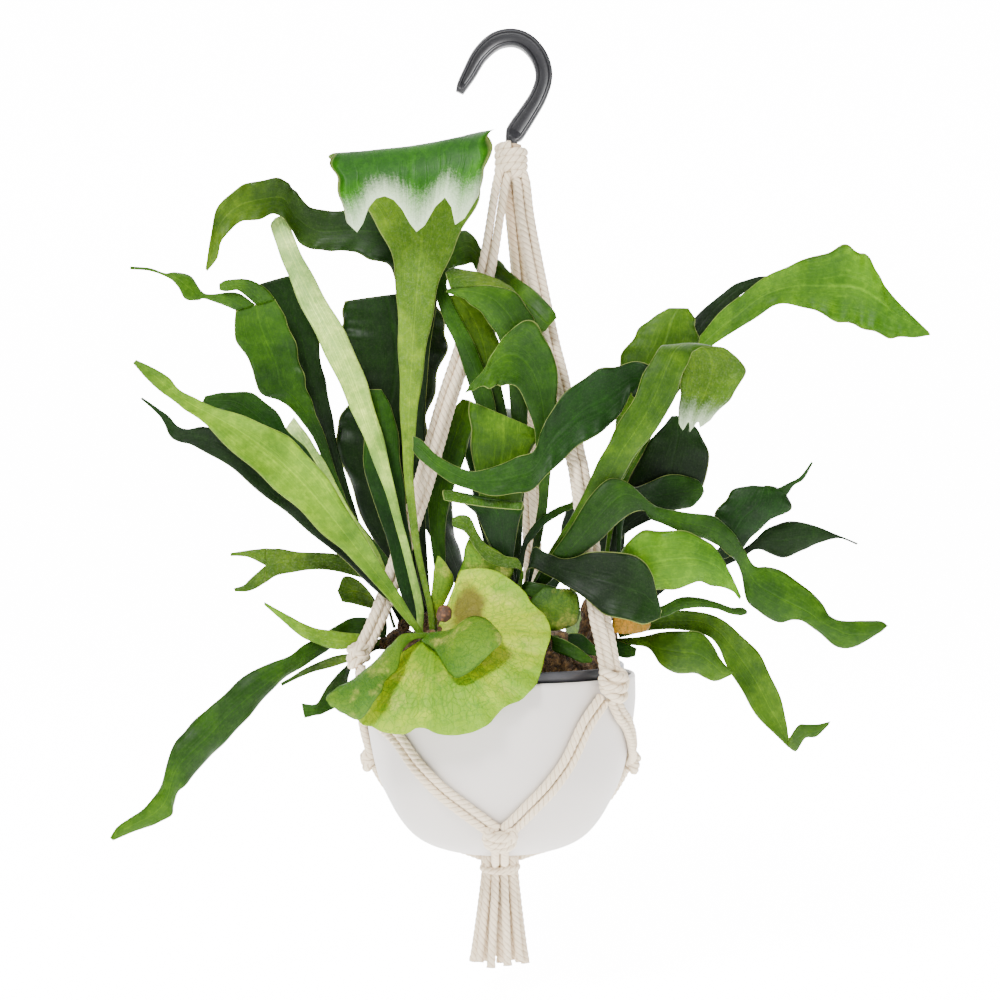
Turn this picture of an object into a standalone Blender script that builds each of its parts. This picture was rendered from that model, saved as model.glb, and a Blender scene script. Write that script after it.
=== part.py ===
"""Hanging staghorn fern: fronds on a rhizome, a bowl pot and a knotted cotton hanger on a hook.

The origin is the point inside the hook that bears on its support. +Z is up and -Y is the front.
Plant, pot and hanger are set out in millimetres from the centre of the pot's rim.
"""
import math

import bmesh
import bpy
import numpy as np
from mathutils import Matrix, Vector
from mathutils.bvhtree import BVHTree

MM = 0.001

# Where the centre of the pot's rim lies from the hook's bearing point.
RIM = (-9.0, 0.0, -394.0)

# Pot, nursery pot and soil (radii and heights from the rim, mm)
POT_R = 85.0
POT_WALL = 3.2
POT_BASE = -112.0
NURSERY_R = 78.0
NURSERY_TOP = 6.0
SOIL_TOP = -3.0
SOIL_GAP = 0.35         # the rootstock stands this far off the soil

# Cotton cord
CORD_D = 5.2

# Fronds
BLADE_T = 0.9           # blade thickness
CROWN_GAP = 0.5        # a frond's foot stands this far off the rhizome
ROWS_PER_STATION = 0.85  # rows of facets between two stations of a blade
COLS = 2                # columns of facets across a blade
FOOT_HALF = 1.9         # half the width of a frond where it starts
BROWN_BUD = ((-33.5, -46, 38.5), (5, 5, 6))
BUD_NECK = ((-37.5, -46, 31), (3.6, 3.6, 5.5))

# Rhizome: crowns as (x, y, z, radius); each frond starts on one of them.
CROWNS = {
    "A": (-40, -34, 15, 11),
    "B": (14, -12, 42, 13),
    "C": (62, 8, 38, 12),
    "D": (64, -8, 20, 11),
    "E": (-63, 12, 16, 12),
    "F": (2, 40, 30, 14),
    "G": (-42, 6, 26, 13),
    "H": (34, -27, 16, 10),
}
MOUND = ((0, 0, -2), (70, 62, 34))

# ---------------------------------------------------------------------------------------------
# Blades. Each row is one station across the blade, from foot to tip: the edge on one side
# (x, y, z) and the edge on the other (x, y, z), in mm from the rim's centre.
# ---------------------------------------------------------------------------------------------
CREST = [
    (-45, -34, 44, -41, -34, 44), (-50, -34, 65, -46, -34, 65), (-55, -33, 90, -50, -33, 90),
    (-59, -32, 126, -53, -32, 126), (-61, -31, 157, -51, -31, 157), (-62, -30, 188, -47, -30, 188),
    (-63, -30, 218, -42, -30, 218), (-65, -29, 249, -35, -29, 248), (-74, -27, 275, -22, -28, 275),
    (-93, -27, 298, -10, -28, 304), (-101, -34, 314, -6, -36, 329), (-102, -50, 317, -5, -52, 331),
    (-99, -61, 303, -7, -62, 316), (-95, -64, 287, -11, -64, 296), (-90, -60, 268, -19, -60, 268),
]
HOOK_LEAF = [
    (-52, 4, 60, -45, 4, 60), (-56, 2, 95, -47, 2, 95), (-60, 0, 140, -47, 0, 140),
    (-63, 0, 184, -46, 0, 186), (-63, 0, 225, -40, 0, 232), (-67, -2, 251, -42, -2, 276),
    (-80, -2, 259, -64, -1, 292), (-98, 0, 265, -86, 1, 292), (-115, 1, 265, -114, 2, 291),
    (-129, 0, 273, -126, 2, 299), (-138, -3, 287, -133, -2, 308), (-150, -7, 284, -147, -7, 309),
    (-164, -11, 280, -163, -11, 303), (-173, -14, 269, -176, -14, 290),
    (-176, -15, 258, -180, -15, 272), (-182, -16, 250, -183, -16, 252),
]
FORK_LEFT = [
    (-75, 3, 68, -69, 3, 69), (-98, 2, 97, -92, 2, 99), (-106, 2, 117, -101, 2, 119),
    (-116, 1, 143, -110, 1, 147), (-126, 0, 159, -116, 0, 163), (-138, -1, 170, -120, 0, 174),
    (-152, -2, 176, -123, 0, 184), (-155, -3, 190, -126, 0, 196), (-163, -3, 203, -130, -1, 210),
    (-167, -3, 214, -135, -2, 223), (-166, -4, 227, -141, -4, 234),
]
FORK_LEFT_LONG = [
    (-176, -6, 231, -165, -6, 238), (-185, -7, 234, -181, -7, 237), (-189, -8, 233, -187, -6, 239),
    (-196, -11, 233, -194, -5, 248), (-201, -11, 241, -203, -7, 251), (-208, -10, 247, -210, -8, 250),
    (-219, -10, 251, -219, -9, 253), (-231, -10, 252, -231, -9, 254),
]
FORK_LEFT_CURL = [
    (-162, -8, 238, -148, -8, 242), (-166, -10, 239, -158, -12, 246), (-171, -11, 238, -170, -13, 245),
    (-175, -11, 239, -175, -12, 243),
]
DARK_BAND = [
    (-82, 13, 60, -77, 13, 60), (-102, 14, 108, -94, 14, 109), (-111, 14, 140, -103, 14, 141),
    (-121, 14, 168, -108, 14, 169), (-130, 14, 191, -113, 14, 192), (-138, 14, 213, -117, 14, 215),
    (-147, 14, 234, -125, 14, 237), (-155, 14, 245, -134, 14, 251),
]
PALE_BLADE = [
    (-52, -35, 44, -47, -35, 44), (-60, -33, 77, -55, -33, 77), (-69, -30, 108, -63, -30, 108),
    (-81, -26, 139, -70, -26, 139), (-95, -21, 170, -79, -21, 170), (-110, -14, 201, -91, -14, 202),
    (-126, -5, 232, -109, -5, 234), (-137, 2, 258, -124, 2, 261), (-145, 6, 280, -135, 6, 285),
    (-143, 7, 286, -138, 7, 288),
]
UNDER_BLADE = [
    (-60, -26, 46, -53, -26, 46), (-67, -22, 71, -54, -22, 71), (-74, -20, 96, -57, -20, 96),
    (-83, -17, 120, -60, -17, 120), (-85, -14, 145, -63, -14, 145), (-84, -11, 164, -67, -11, 164),
    (-82, -9, 177, -74, -9, 177),
]
SPEAR = [
    (-60, -43, 38, -52, -43, 36), (-73, -45, 54, -62, -45, 53), (-91, -47, 73, -75, -47, 74),
    (-106, -51, 87, -89, -50, 98), (-120, -55, 101, -102, -53, 118),
    (-135, -58, 115, -115, -56, 135), (-150, -60, 128, -129, -58, 147),
    (-168, -61, 145, -147, -59, 156), (-181, -61, 157, -166, -60, 162),
    (-190, -61, 163, -178, -60, 167), (-199, -60, 170, -190, -60, 173),
    (-207, -59, 176, -198, -60, 181), (-213, -59, 182, -207, -60, 187),
    (-220, -58, 190, -218, -59, 192),
]
SHADOW_SPEAR = [
    (-74, -27, 50, -68, -27, 56), (-95, -37, 71, -86, -37, 79), (-115, -43, 88, -104, -43, 100),
    (-133, -47, 103, -121, -47, 118), (-151, -50, 118, -139, -50, 135),
    (-169, -51, 132, -157, -51, 147), (-184, -51, 140, -177, -51, 152),
    (-193, -51, 143, -188, -51, 151), (-199, -50, 146, -195, -50, 153),
    (-202, -50, 153, -199, -50, 158), (-206, -50, 159, -203, -50, 161),
    (-211, -50, 164, -210, -50, 166), (-217, -50, 169, -216, -50, 170),
]
SHORT_BACK = [
    (-86, -13, 74, -81, -13, 79), (-109, -16, 102, -101, -16, 108),
    (-130, -20, 126, -117, -20, 136), (-147, -24, 145, -130, -24, 150),
    (-160, -27, 154, -140, -27, 165), (-171, -29, 162, -154, -29, 174),
    (-180, -30, 164, -170, -30, 174), (-183, -30, 168, -181, -30, 172),
]
WHITE_STRIP = [
    (-80, -5, 72, -76, -5, 75), (-97, -6, 98, -94, -6, 102), (-113, -6, 120, -107, -6, 127),
    (-125, -7, 138, -118, -7, 145), (-134, -7, 153, -129, -7, 160),
]
DARK_FAN = [
    (-72, 24, 66, -53, 26, 66), (-88, 24, 96, -50, 26, 96), (-100, 24, 128, -49, 26, 128),
    (-106, 24, 154, -48, 26, 150), (-96, 24, 171, -45, 26, 168), (-95, 25, 190, -39, 26, 190),
    (-100, 26, 211, -34, 26, 210), (-102, 26, 224, -37, 26, 226), (-100, 26, 236, -47, 26, 243),
]
STRAP_ARCH = [
    (-2, -10, 62, 3, -10, 62), (-5, -12, 83, 2, -12, 83), (-6, -13, 120, 2, -13, 121),
    (-11, -17, 152, -1, -17, 152), (-18, -20, 176, -6, -20, 180), (-27, -21, 202, -14, -21, 200),
    (-34, -21, 218, -22, -21, 217), (-39, -19, 231, -30, -19, 232), (-41, -15, 246, -33, -15, 243),
    (-38, -9, 264, -30, -9, 251), (-30, -3, 275, -25, -3, 255), (-21, 5, 278, -18, 5, 257),
    (-11, 9, 267, -10, 9, 247), (0, 2, 258, -2, 2, 239), (12, -12, 246, 5, -12, 230),
    (25, -23, 234, 15, -23, 218), (33, -27, 225, 22, -27, 210), (35, -28, 220, 28, -28, 212),
]
TEAL_BACK = [
    (4, 0, 66, 9, 0, 66), (2, -5, 105, 10, -5, 105), (-5, -11, 145, 7, -12, 145),
    (-13, -14, 180, 1, -14, 180), (-21, -15, 205, 0, -15, 205), (-28, -15, 224, -10, -15, 226),
    (-32, -14, 235, -24, -14, 236),
]
BRIGHT_CURL = [
    (8, -13, 66, 13, -13, 66), (8, -19, 90, 14, -19, 90), (9, -23, 133, 16, -23, 133),
    (6, -27, 170, 18, -27, 170), (2, -30, 200, 21, -30, 200), (-2, -32, 208, 21, -31, 216),
    (-7, -34, 217, 17, -33, 226), (-15, -35, 225, 7, -35, 236), (-21, -36, 230, -6, -36, 239),
    (-28, -36, 233, -18, -36, 238), (-33, -35, 235, -32, -35, 237),
]
# far edge of the part of the bright frond that folds back over its crease, from tip to stalk
BRIGHT_BACK_EDGE = [
    (-34, -31, 247), (-30, -27, 251), (-22, -26, 250), (-12, -27, 248), (0, -29, 243), (8, -32, 238),
]
MID_LEAF = [
    (20, -23, 80, 25, -23, 80), (22, -24, 96, 28, -24, 96), (24, -30, 112, 30, -30, 112),
    (22, -37, 134, 32, -37, 134),
    (20, -39, 156, 34, -38, 158), (13, -42, 172, 35, -38, 182),
    (6, -45, 178, 31, -41, 200), (0, -47, 177, 24, -44, 213), (-4, -48, 176, 14, -46, 216),
    (-8, -49, 176, 4, -47, 209), (-13, -49, 176, -3, -47, 199),
    (-17, -48, 174, -9, -47, 188), (-21, -47, 173, -19, -46, 177),
]
OLIVE_FAN = [
    (0, -24, 60, 7, -24, 60), (-2, -24, 71, 7, -24, 71), (-9, -26, 86, 10, -26, 86),
    (-13, -29, 108, 13, -29, 108), (-16, -32, 130, 17, -32, 130), (-18, -33, 146, 22, -33, 143),
    (-19, -33, 158, 23, -33, 147), (-19, -33, 169, 23, -33, 151),
]
DARK_LEFT = [
    (-41, -5, 62, -34, -5, 62), (-45, -1, 95, -34, -1, 95), (-45, 3, 121, -27, 3, 121),
    (-40, 5, 143, -20, 5, 143), (-32, 5, 162, -16, 5, 160), (-24, 5, 172, -19, 5, 171),
]
SASH = [
    (60, -8, 66, 65, -8, 67),
    (66, -20, 120, 72, -20, 122), (75, -29, 145, 84, -29, 145), (82, -35, 166, 98, -35, 168),
    (81, -38, 172, 94, -38, 187), (79, -39, 172, 84, -39, 192), (74, -41, 162, 71, -41, 190),
    (65, -43, 151, 60, -43, 187), (55, -45, 146, 50, -44, 182), (45, -47, 138, 39, -46, 172),
    (35, -49, 130, 30, -47, 161), (27, -51, 121, 25, -49, 149), (18, -53, 114, 20, -50, 138),
    (6, -54, 111, 9, -52, 133), (-6, -54, 111, -3, -52, 129), (-21, -53, 115, -15, -52, 125),
    (-32, -51, 120, -27, -51, 129), (-42, -49, 127, -38, -49, 135), (-50, -46, 134, -47, -46, 144),
    (-53, -44, 138, -53, -44, 147),
]
FOLDED_FLAP = [
    (31, -29, 78, 38, -33, 78), (40, -45, 93, 52, -53, 93), (54, -50, 120, 73, -49, 120),
    (62, -52, 137, 84, -51, 138), (71, -53, 153, 97, -52, 154), (81, -53, 171, 106, -52, 172),
    (88, -52, 187, 112, -51, 187), (95, -48, 198, 117, -46, 198), (103, -39, 202, 129, -37, 202),
    (109, -30, 200, 147, -25, 196), (112, -27, 190, 151, -20, 185), (111, -27, 176, 144, -20, 172),
    (110, -27, 164, 134, -21, 162), (110, -26, 154, 128, -21, 154),
]
DOME = [
    (57, 4, 62, 62, 4, 62),
    (63, 0, 104, 70, 0, 104), (70, -4, 139, 88, -4, 139), (73, -6, 171, 103, -6, 170),
    (74, -8, 192, 119, -8, 192), (80, -8, 205, 124, -8, 205), (87, -8, 215, 123, -8, 215),
    (95, -8, 222, 121, -8, 223), (105, -8, 228, 118, -8, 228),
]
WING = [
    (60, 20, 58, 65, 20, 58),
    (69, 17, 90, 75, 17, 90), (82, 20, 133, 90, 20, 134), (96, 22, 166, 107, 22, 166),
    (112, 24, 192, 125, 24, 192), (127, 24, 212, 136, 24, 207), (144, 22, 231, 159, 22, 221),
    (163, 20, 246, 175, 20, 232), (182, 17, 257, 191, 17, 232), (200, 13, 263, 205, 13, 226),
    (217, 9, 269, 218, 9, 220), (226, 5, 266, 230, 5, 217), (235, 1, 258, 241, 1, 211),
    (242, -3, 242, 251, -3, 210), (254, -6, 228, 262, -6, 210), (268, -9, 213, 269, -9, 211),
]
WING_BACK = [
    (74, 21, 56, 77, 23, 54),
    (78, 27, 110, 84, 27, 110), (90, 32, 147, 97, 32, 147), (108, 34, 185, 117, 34, 185),
    (124, 34, 223, 133, 34, 214), (137, 34, 236, 144, 34, 230), (151, 33, 247, 158, 33, 242),
    (165, 32, 252, 171, 32, 247), (176, 31, 253, 177, 31, 251),
]
BIG_DARK = [
    (67, 11, 60, 72, 11, 60),
    (71, 6, 86, 79, 6, 86), (76, 5, 104, 118, 5, 105), (81, 4, 118, 129, 4, 115),
    (88, 2, 136, 131, 2, 135), (96, 1, 147, 128, 1, 148), (103, 0, 155, 121, 0, 156),
    (108, 0, 161, 115, 0, 161),
]
GREY_LEAF = [
    (72, 0, 60, 75, 0, 57),
    (75, -5, 108, 78, -5, 96), (88, -6, 117, 94, -6, 102), (100, -6, 122, 108, -6, 101),
    (113, -6, 124, 118, -6, 103), (123, -6, 121, 125, -6, 108), (127, -6, 117, 128, -6, 113),
]
LONG_ARCH = [
    (30, -40, 73, 43, -45, 70), (42, -53, 91, 58, -57, 82), (54, -58, 110, 71, -58, 94),
    (65, -58, 121, 80, -56, 101), (77, -57, 118, 87, -54, 101), (90, -55, 107, 90, -53, 97),
    (98, -52, 103, 97, -51, 94), (109, -49, 101, 110, -48, 88), (121, -46, 100, 123, -44, 85),
    (132, -42, 97, 132, -41, 80), (142, -38, 89, 139, -37, 75), (149, -34, 78, 144, -33, 71),
    (156, -30, 68, 149, -28, 60), (164, -28, 67, 152, -27, 46), (175, -28, 63, 160, -27, 38),
    (188, -29, 55, 172, -28, 33), (197, -30, 45, 180, -29, 34), (203, -31, 37, 187, -30, 33),
    (211, -32, 34, 195, -30, 27), (222, -32, 34, 206, -30, 18), (233, -32, 34, 218, -31, 18),
    (238, -32, 31, 233, -32, 27),
]
FAN_RIGHT = [
    (99, -20, 61, 104, -20, 60), (124, -20, 72, 131, -20, 69), (137, -18, 80, 149, -18, 76),
    (134, -17, 90, 157, -17, 86), (134, -16, 99, 168, -16, 95), (139, -16, 108, 180, -16, 102),
    (146, -16, 115, 179, -16, 111), (155, -16, 117, 172, -16, 116),
]
FAN_TIP = [
    (171, -16, 115, 178, -16, 111), (180, -15, 119, 183, -15, 117), (187, -14, 123, 189, -14, 121),
    (194, -13, 132, 195, -13, 131),
]
DARK_ARROW = [
    (106, -10, 60, 109, -10, 56), (125, -9, 65, 128, -9, 61), (147, -8, 75, 150, -8, 71),
    (158, -8, 82, 160, -8, 77), (168, -8, 91, 170, -8, 74), (178, -8, 94, 180, -8, 72),
    (191, -8, 94, 190, -8, 77), (202, -8, 90, 200, -8, 81), (212, -8, 86, 212, -8, 84),
    (224, -8, 81, 223, -8, 80),
]
GREY_DROOP = [
    (69, -40, 66, 73, -39, 58), (75, -55, 81, 86, -52, 53), (86, -60, 89, 96, -55, 53),
    (97, -61, 90, 108, -56, 56), (111, -61, 89, 119, -56, 58), (122, -60, 85, 127, -56, 57),
    (130, -58, 78, 134, -55, 55), (138, -56, 65, 140, -54, 53), (145, -54, 50, 144, -54, 48),
]
DARK_FRONT = [
    (20, -38, 78, 17, -38, 66), (28, -44, 76, 27, -44, 63), (39, -52, 73, 38, -53, 58),
    (54, -60, 76, 50, -62, 49), (67, -65, 78, 60, -68, 42), (78, -68, 75, 71, -71, 37),
    (88, -70, 69, 83, -72, 35), (92, -70, 57, 91, -71, 36), (96, -69, 42, 95, -69, 38),
]
B_LEAF = [
    (14, -31, 57, 14, -31, 49), (24, -34, 57, 22, -35, 48), (34, -35, 55, 31, -35, 49),
]
THIN_CURVED = [
    (13, -26, 78, 16, -26, 77), (17, -28, 88, 21, -28, 85), (25, -29, 97, 28, -29, 93),
    (34, -28, 103, 37, -28, 99), (46, -26, 107, 48, -26, 104),
]
CURLED_RIM = [
    (1, -31, 60, 7, -31, 60), (-2, -32, 72, 8, -32, 72), (-9, -37, 88, 11, -36, 88),
    (-15, -41, 99, 13, -41, 99), (-22, -44, 105, 14, -43, 104), (-30, -46, 115, 14, -45, 107),
    (-35, -50, 113, 14, -48, 106), (-34, -52, 108, 13, -50, 102),
]
SMALL_CURL = [
    (13, -37, 65, 14, -38, 60), (11, -40, 72, 12, -41, 66), (3, -43, 74, 2, -43, 67),
    (-6, -46, 79, -8, -47, 71), (-13, -47, 88, -15, -48, 79), (-18, -47, 97, -21, -48, 88),
    (-24, -47, 99, -27, -47, 91), (-29, -46, 97, -29, -46, 93),
]
ANTLER = [
    (-79, 6, 61, -75, 6, 51), (-98, 2, 73, -98, 2, 62), (-119, -4, 75, -119, -4, 64),
    (-135, -8, 77, -138, -8, 61), (-146, -10, 78, -147, -10, 56),
]
ANTLER_UP = [
    (-156, -11, 77, -156, -11, 72), (-162, -12, 76, -162, -12, 73), (-168, -12, 75, -168, -12, 73),
]
ANTLER_LOW = [
    (-156, -11, 59, -152, -11, 53), (-160, -12, 55, -158, -12, 51), (-166, -13, 53, -165, -13, 51),
]
THIN_CURL = [
    (-85, -7, 24, -87, -7, 16), (-101, -12, 26, -104, -12, 15), (-113, -15, 28, -118, -15, 20),
    (-123, -17, 32, -127, -17, 26), (-132, -19, 37, -135, -19, 33), (-146, -20, 45, -146, -20, 43),
]
LONG_LOW = [
    (-80, 11, 32, -83, 11, 21), (-95, 8, 33, -100, 8, 20), (-107, -2, 26, -111, -2, 12),
    (-122, -12, 18, -128, -12, 1), (-136, -20, 10, -141, -20, -10), (-154, -26, 1, -154, -26, -25),
    (-169, -31, -10, -166, -31, -37), (-180, -35, -21, -177, -35, -50),
    (-190, -38, -30, -188, -38, -61), (-198, -40, -40, -195, -40, -69),
    (-203, -41, -53, -198, -41, -77), (-207, -42, -67, -200, -42, -84),
    (-215, -42, -78, -209, -42, -89), (-225, -42, -85, -218, -42, -92),
    (-233, -42, -91, -228, -42, -96), (-237, -42, -97, -235, -42, -99),
]
SMALL_GREY = [
    (-88, -8, 13, -88, -8, 9), (-105, -5, 10, -103, -5, 4), (-121, -3, 3, -117, -3, 0),
    (-131, -2, -3, -129, -2, -5), (-138, -2, -7, -137, -2, -9),
]
LOW_FLAG = [
    (-78, 10, 38, -72, 10, 30), (-88, 15, 55, -79, 15, 38), (-99, 17, 59, -92, 17, 41),
    (-104, 17, 50, -101, 17, 43),
]
DARK_LOW_LEFT = [
    (-82, 9, 17, -82, 9, 12), (-90, 6, 11, -93, 6, 2), (-97, -2, 3, -99, -4, -18),
    (-107, -12, -7, -110, -13, -25), (-114, -17, -18, -116, -18, -26), (-123, -19, -18, -121, -20, -27),
]
SMALL_RIGHT = [
    (87, -20, 39, 88, -20, 34), (100, -26, 43, 101, -26, 36), (111, -28, 48, 111, -28, 40),
    (123, -28, 48, 123, -28, 42), (134, -28, 45, 133, -28, 41), (142, -28, 42, 141, -28, 38),
    (149, -28, 42, 148, -28, 37), (152, -28, 40, 152, -28, 38),
]
RIGHT_DROOP = [
    (93, -14, 35, 95, -14, 27), (108, -19, 39, 114, -19, 27), (124, -22, 39, 127, -22, 25),
    (137, -23, 34, 134, -23, 18), (149, -24, 25, 140, -24, 6), (159, -25, 14, 147, -25, -7),
    (166, -26, 2, 154, -26, -18), (172, -27, -12, 161, -27, -29), (176, -27, -26, 170, -27, -37),
    (178, -26, -39, 177, -26, -44),
]
DROOP_CURL = [
    (184, -22, -31, 183, -22, -47), (190, -20, -31, 189, -20, -40), (197, -19, -31, 196, -19, -39),
    (205, -19, -29, 203, -19, -32),
]
BELLY = [
    (88, -26, 24, 91, -26, 17), (98, -35, 27, 98, -35, 8), (110, -40, 29, 107, -39, 3),
    (122, -41, 27, 118, -41, 2), (131, -40, 18, 126, -41, -1), (137, -39, 8, 133, -39, -2),
    (142, -38, 3, 140, -38, 1),
]
RIM_LEAF_1 = [
    (31, -44, 26, 32, -45, 17), (40, -48, 23, 41, -49, 13), (50, -51, 17, 49, -52, 10),
    (56, -51, 12, 55, -51, 10),
]
RIM_LEAF_2 = [
    (44, -38, 27, 44, -38, 19), (50, -38, 26, 50, -38, 15), (57, -37, 20, 56, -38, 13),
    (62, -36, 16, 61, -36, 13),
]
RIM_LEAF_3 = [
    (69, -24, 23, 69, -25, 14), (78, -28, 20, 77, -28, 11), (84, -30, 17, 83, -30, 12),
]
BACK_HIGH = [
    (-7, 60, 60, 3, 60, 60), (-16, 84, 100, 8, 84, 100), (-24, 104, 140, 18, 104, 138),
    (-28, 128, 165, 24, 128, 162), (-26, 152, 168, 22, 152, 166), (-18, 172, 152, 16, 172, 152),
    (-8, 184, 134, 6, 184, 134),
]
BACK_LEFT = [
    (-26, 56, 48, -18, 60, 48), (-44, 80, 78, -28, 88, 78), (-58, 100, 104, -34, 112, 106),
    (-62, 122, 114, -36, 134, 116), (-56, 144, 104, -38, 150, 106), (-50, 158, 86, -44, 160, 86),
]
BACK_RIGHT = [
    (24, 58, 44, 32, 54, 44), (38, 84, 76, 54, 78, 76), (48, 108, 106, 74, 98, 106),
    (58, 130, 120, 84, 118, 120), (66, 148, 110, 84, 138, 110), (74, 158, 92, 80, 154, 92),
]
BACK_LOW_LEFT = [
    (-26, 72, 26, -18, 76, 28), (-46, 98, 26, -28, 108, 30), (-58, 124, 8, -38, 134, 14),
    (-60, 144, -20, -44, 150, -14), (-54, 154, -46, -48, 157, -44),
]
BACK_LOW_RIGHT = [
    (34, 70, 31, 40, 64, 30), (42, 104, 36, 58, 92, 32), (46, 134, 22, 62, 124, 16),
    (48, 154, -4, 62, 146, -10), (54, 162, -28, 58, 160, -30),
]
# Shield fronds
DISC = [
    (-26, -42, 60, -12, -42, 64), (-26, -51, 48, 17, -50, 48), (-30, -60, 32, 30, -62, 28),
    (-37, -68, 17, 30, -74, 19), (-62, -76, 7, 29, -83, 9), (-80, -80, -2, 22, -91, -3),
    (-97, -82, -13, 9, -95, -14), (-88, -86, -21, -6, -96, -22), (-66, -90, -29, -26, -94, -29),
]
FRILL_RIGHT = [
    (-43, -52, 29, -50, -52, 26), (-39, -68, 28, -42, -71, 20), (-27, -79, 33, -29, -84, 8),
    (-15, -85, 38, -18, -91, 9), (-6, -86, 37, -8, -92, 14), (1, -85, 29, -1, -88, 21),
]
FRILL_LEFT = [
    (-47, -50, 31, -53, -50, 27), (-58, -66, 30, -58, -67, 21), (-69, -78, 26, -61, -82, 13),
    (-79, -85, 17, -65, -91, 3), (-91, -90, 5, -71, -96, -6), (-101, -92, -7, -80, -97, -12),
]
LIME_POINT = [
    (-44, -29, 36, -38, -29, 36), (-43, -30, 47, -33, -31, 47), (-41, -33, 59, -28, -34, 59),
    (-40, -37, 67, -32, -37, 68), (-38, -39, 74, -37, -39, 74),
]
LIME_BACK = [
    (-20, -34, 52, 2, -32, 50), (-25, -38, 60, 7, -38, 60), (-24, -38, 68, 8, -38, 66),
    (-22, -38, 77, 0, -38, 76), (-19, -37, 85, -14, -37, 84),
]
OLIVE_SHIELD = [
    (24, -37, 30, 42, -35, 30), (19, -43, 40, 49, -41, 40), (19, -45, 48, 48, -42, 49),
    (26, -45, 55, 44, -42, 54),
]
OLD_SHIELD = [
    (69, -28, 27, 88, -26, 27), (68, -32, 32, 92, -30, 32), (69, -34, 37, 89, -32, 38),
]


# ---------------------------------------------------------------------------------------------
# Shapes
# ---------------------------------------------------------------------------------------------

def spline(points, where):
    """Smooth curve through the rows of an array, read at the given positions (row units)."""
    p = np.vstack([2 * points[0] - points[1], points, 2 * points[-1] - points[-2]])
    i = np.clip(where.astype(int), 0, len(points) - 2)
    f = (where - i)[:, None]
    a, b, c, d = p[i], p[i + 1], p[i + 2], p[i + 3]
    return 0.5 * (2 * b + (c - a) * f + (2 * a - 5 * b + 4 * c - d) * f ** 2
                  + (3 * b - a - 3 * c + d) * f ** 3)


BALLS = {}
for level in (1, 2):
    bm = bmesh.new()
    bmesh.ops.create_icosphere(bm, subdivisions=level, radius=1.0)
    BALLS[level] = BVHTree.FromBMesh(bm)
    bm.free()


def reach(way, level):
    """How far the faceted surface of a ball of radius 1 lies from its centre along a direction."""
    return BALLS[level].ray_cast(Vector(), way)[3]


def foot(rows, crown, sunk=None):
    """Put a first row on the crown's surface, or sunk into a bud, facing the blade's second row."""
    centre, radius = Vector(crown[:3]), crown[3]
    first = [Vector(rows[0][:3]), Vector(rows[0][3:6])]
    out = ((first[0] + first[1]) / 2 - centre).normalized()
    side = first[1] - first[0]
    side = (side - out * side.dot(out)).normalized() * FOOT_HALF
    base = centre + out * (sunk or radius * reach(out, 2) + CROWN_GAP)
    return [tuple(base - side) + tuple(base + side)] + rows


def blade_grid(rows, cup=0.12, wave=(0.0, 3), notches=None, columns=COLS, start=None):
    """Grid of points over a blade: splines along both edges, cupped and waved between them."""
    data = np.array([r[:6] for r in rows], float)
    if start is not None:
        data = np.vstack([np.r_[start[0], start[-1]], data])
    count = max(4, int(round((len(data) - 1) * ROWS_PER_STATION)) + 1)
    at = np.linspace(0, len(data) - 1, count)
    v = np.linspace(0, 1, columns + 1)
    if notches is None:
        edges = spline(data, at)
        left, right = edges[:, None, :3], edges[:, None, 3:]
        mesh = left + (right - left) * v[None, :, None]
    else:
        cut = np.interp(v, [n[0] for n in notches], [n[1] for n in notches])
        mesh = np.empty((count, columns + 1, 3))
        for j in range(columns + 1):
            edges = spline(data, at * (1 - cut[j] * (at / at[-1]) ** 3))
            mesh[:, j] = edges[:, :3] + (edges[:, 3:] - edges[:, :3]) * v[j]
        left, right = mesh[:, :1], mesh[:, -1:]
    across = (right - left)[:, 0]
    along = np.gradient(mesh[:, columns // 2], axis=0)
    normal = np.cross(across, along)
    normal /= np.linalg.norm(normal, axis=1)[:, None] + 1e-9
    width = np.linalg.norm(across, axis=1)
    u = np.linspace(0, 1, count)
    bow = cup * width[:, None] * (4 * v * (1 - v))[None, :]
    ends = np.minimum(1, np.minimum(u * 5, (1 - u) * 5))[:, None]
    ripple = wave[0] * np.sin(u[:, None] * wave[1] * 2 * math.pi + 2.2 * v[None, :])
    bow = bow + ripple * ends * np.abs(2 * v - 1)[None, :] ** 2
    mesh = mesh + normal[:, None, :] * bow[:, :, None]
    if start is not None:
        mesh[0] = start
    return mesh


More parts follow.
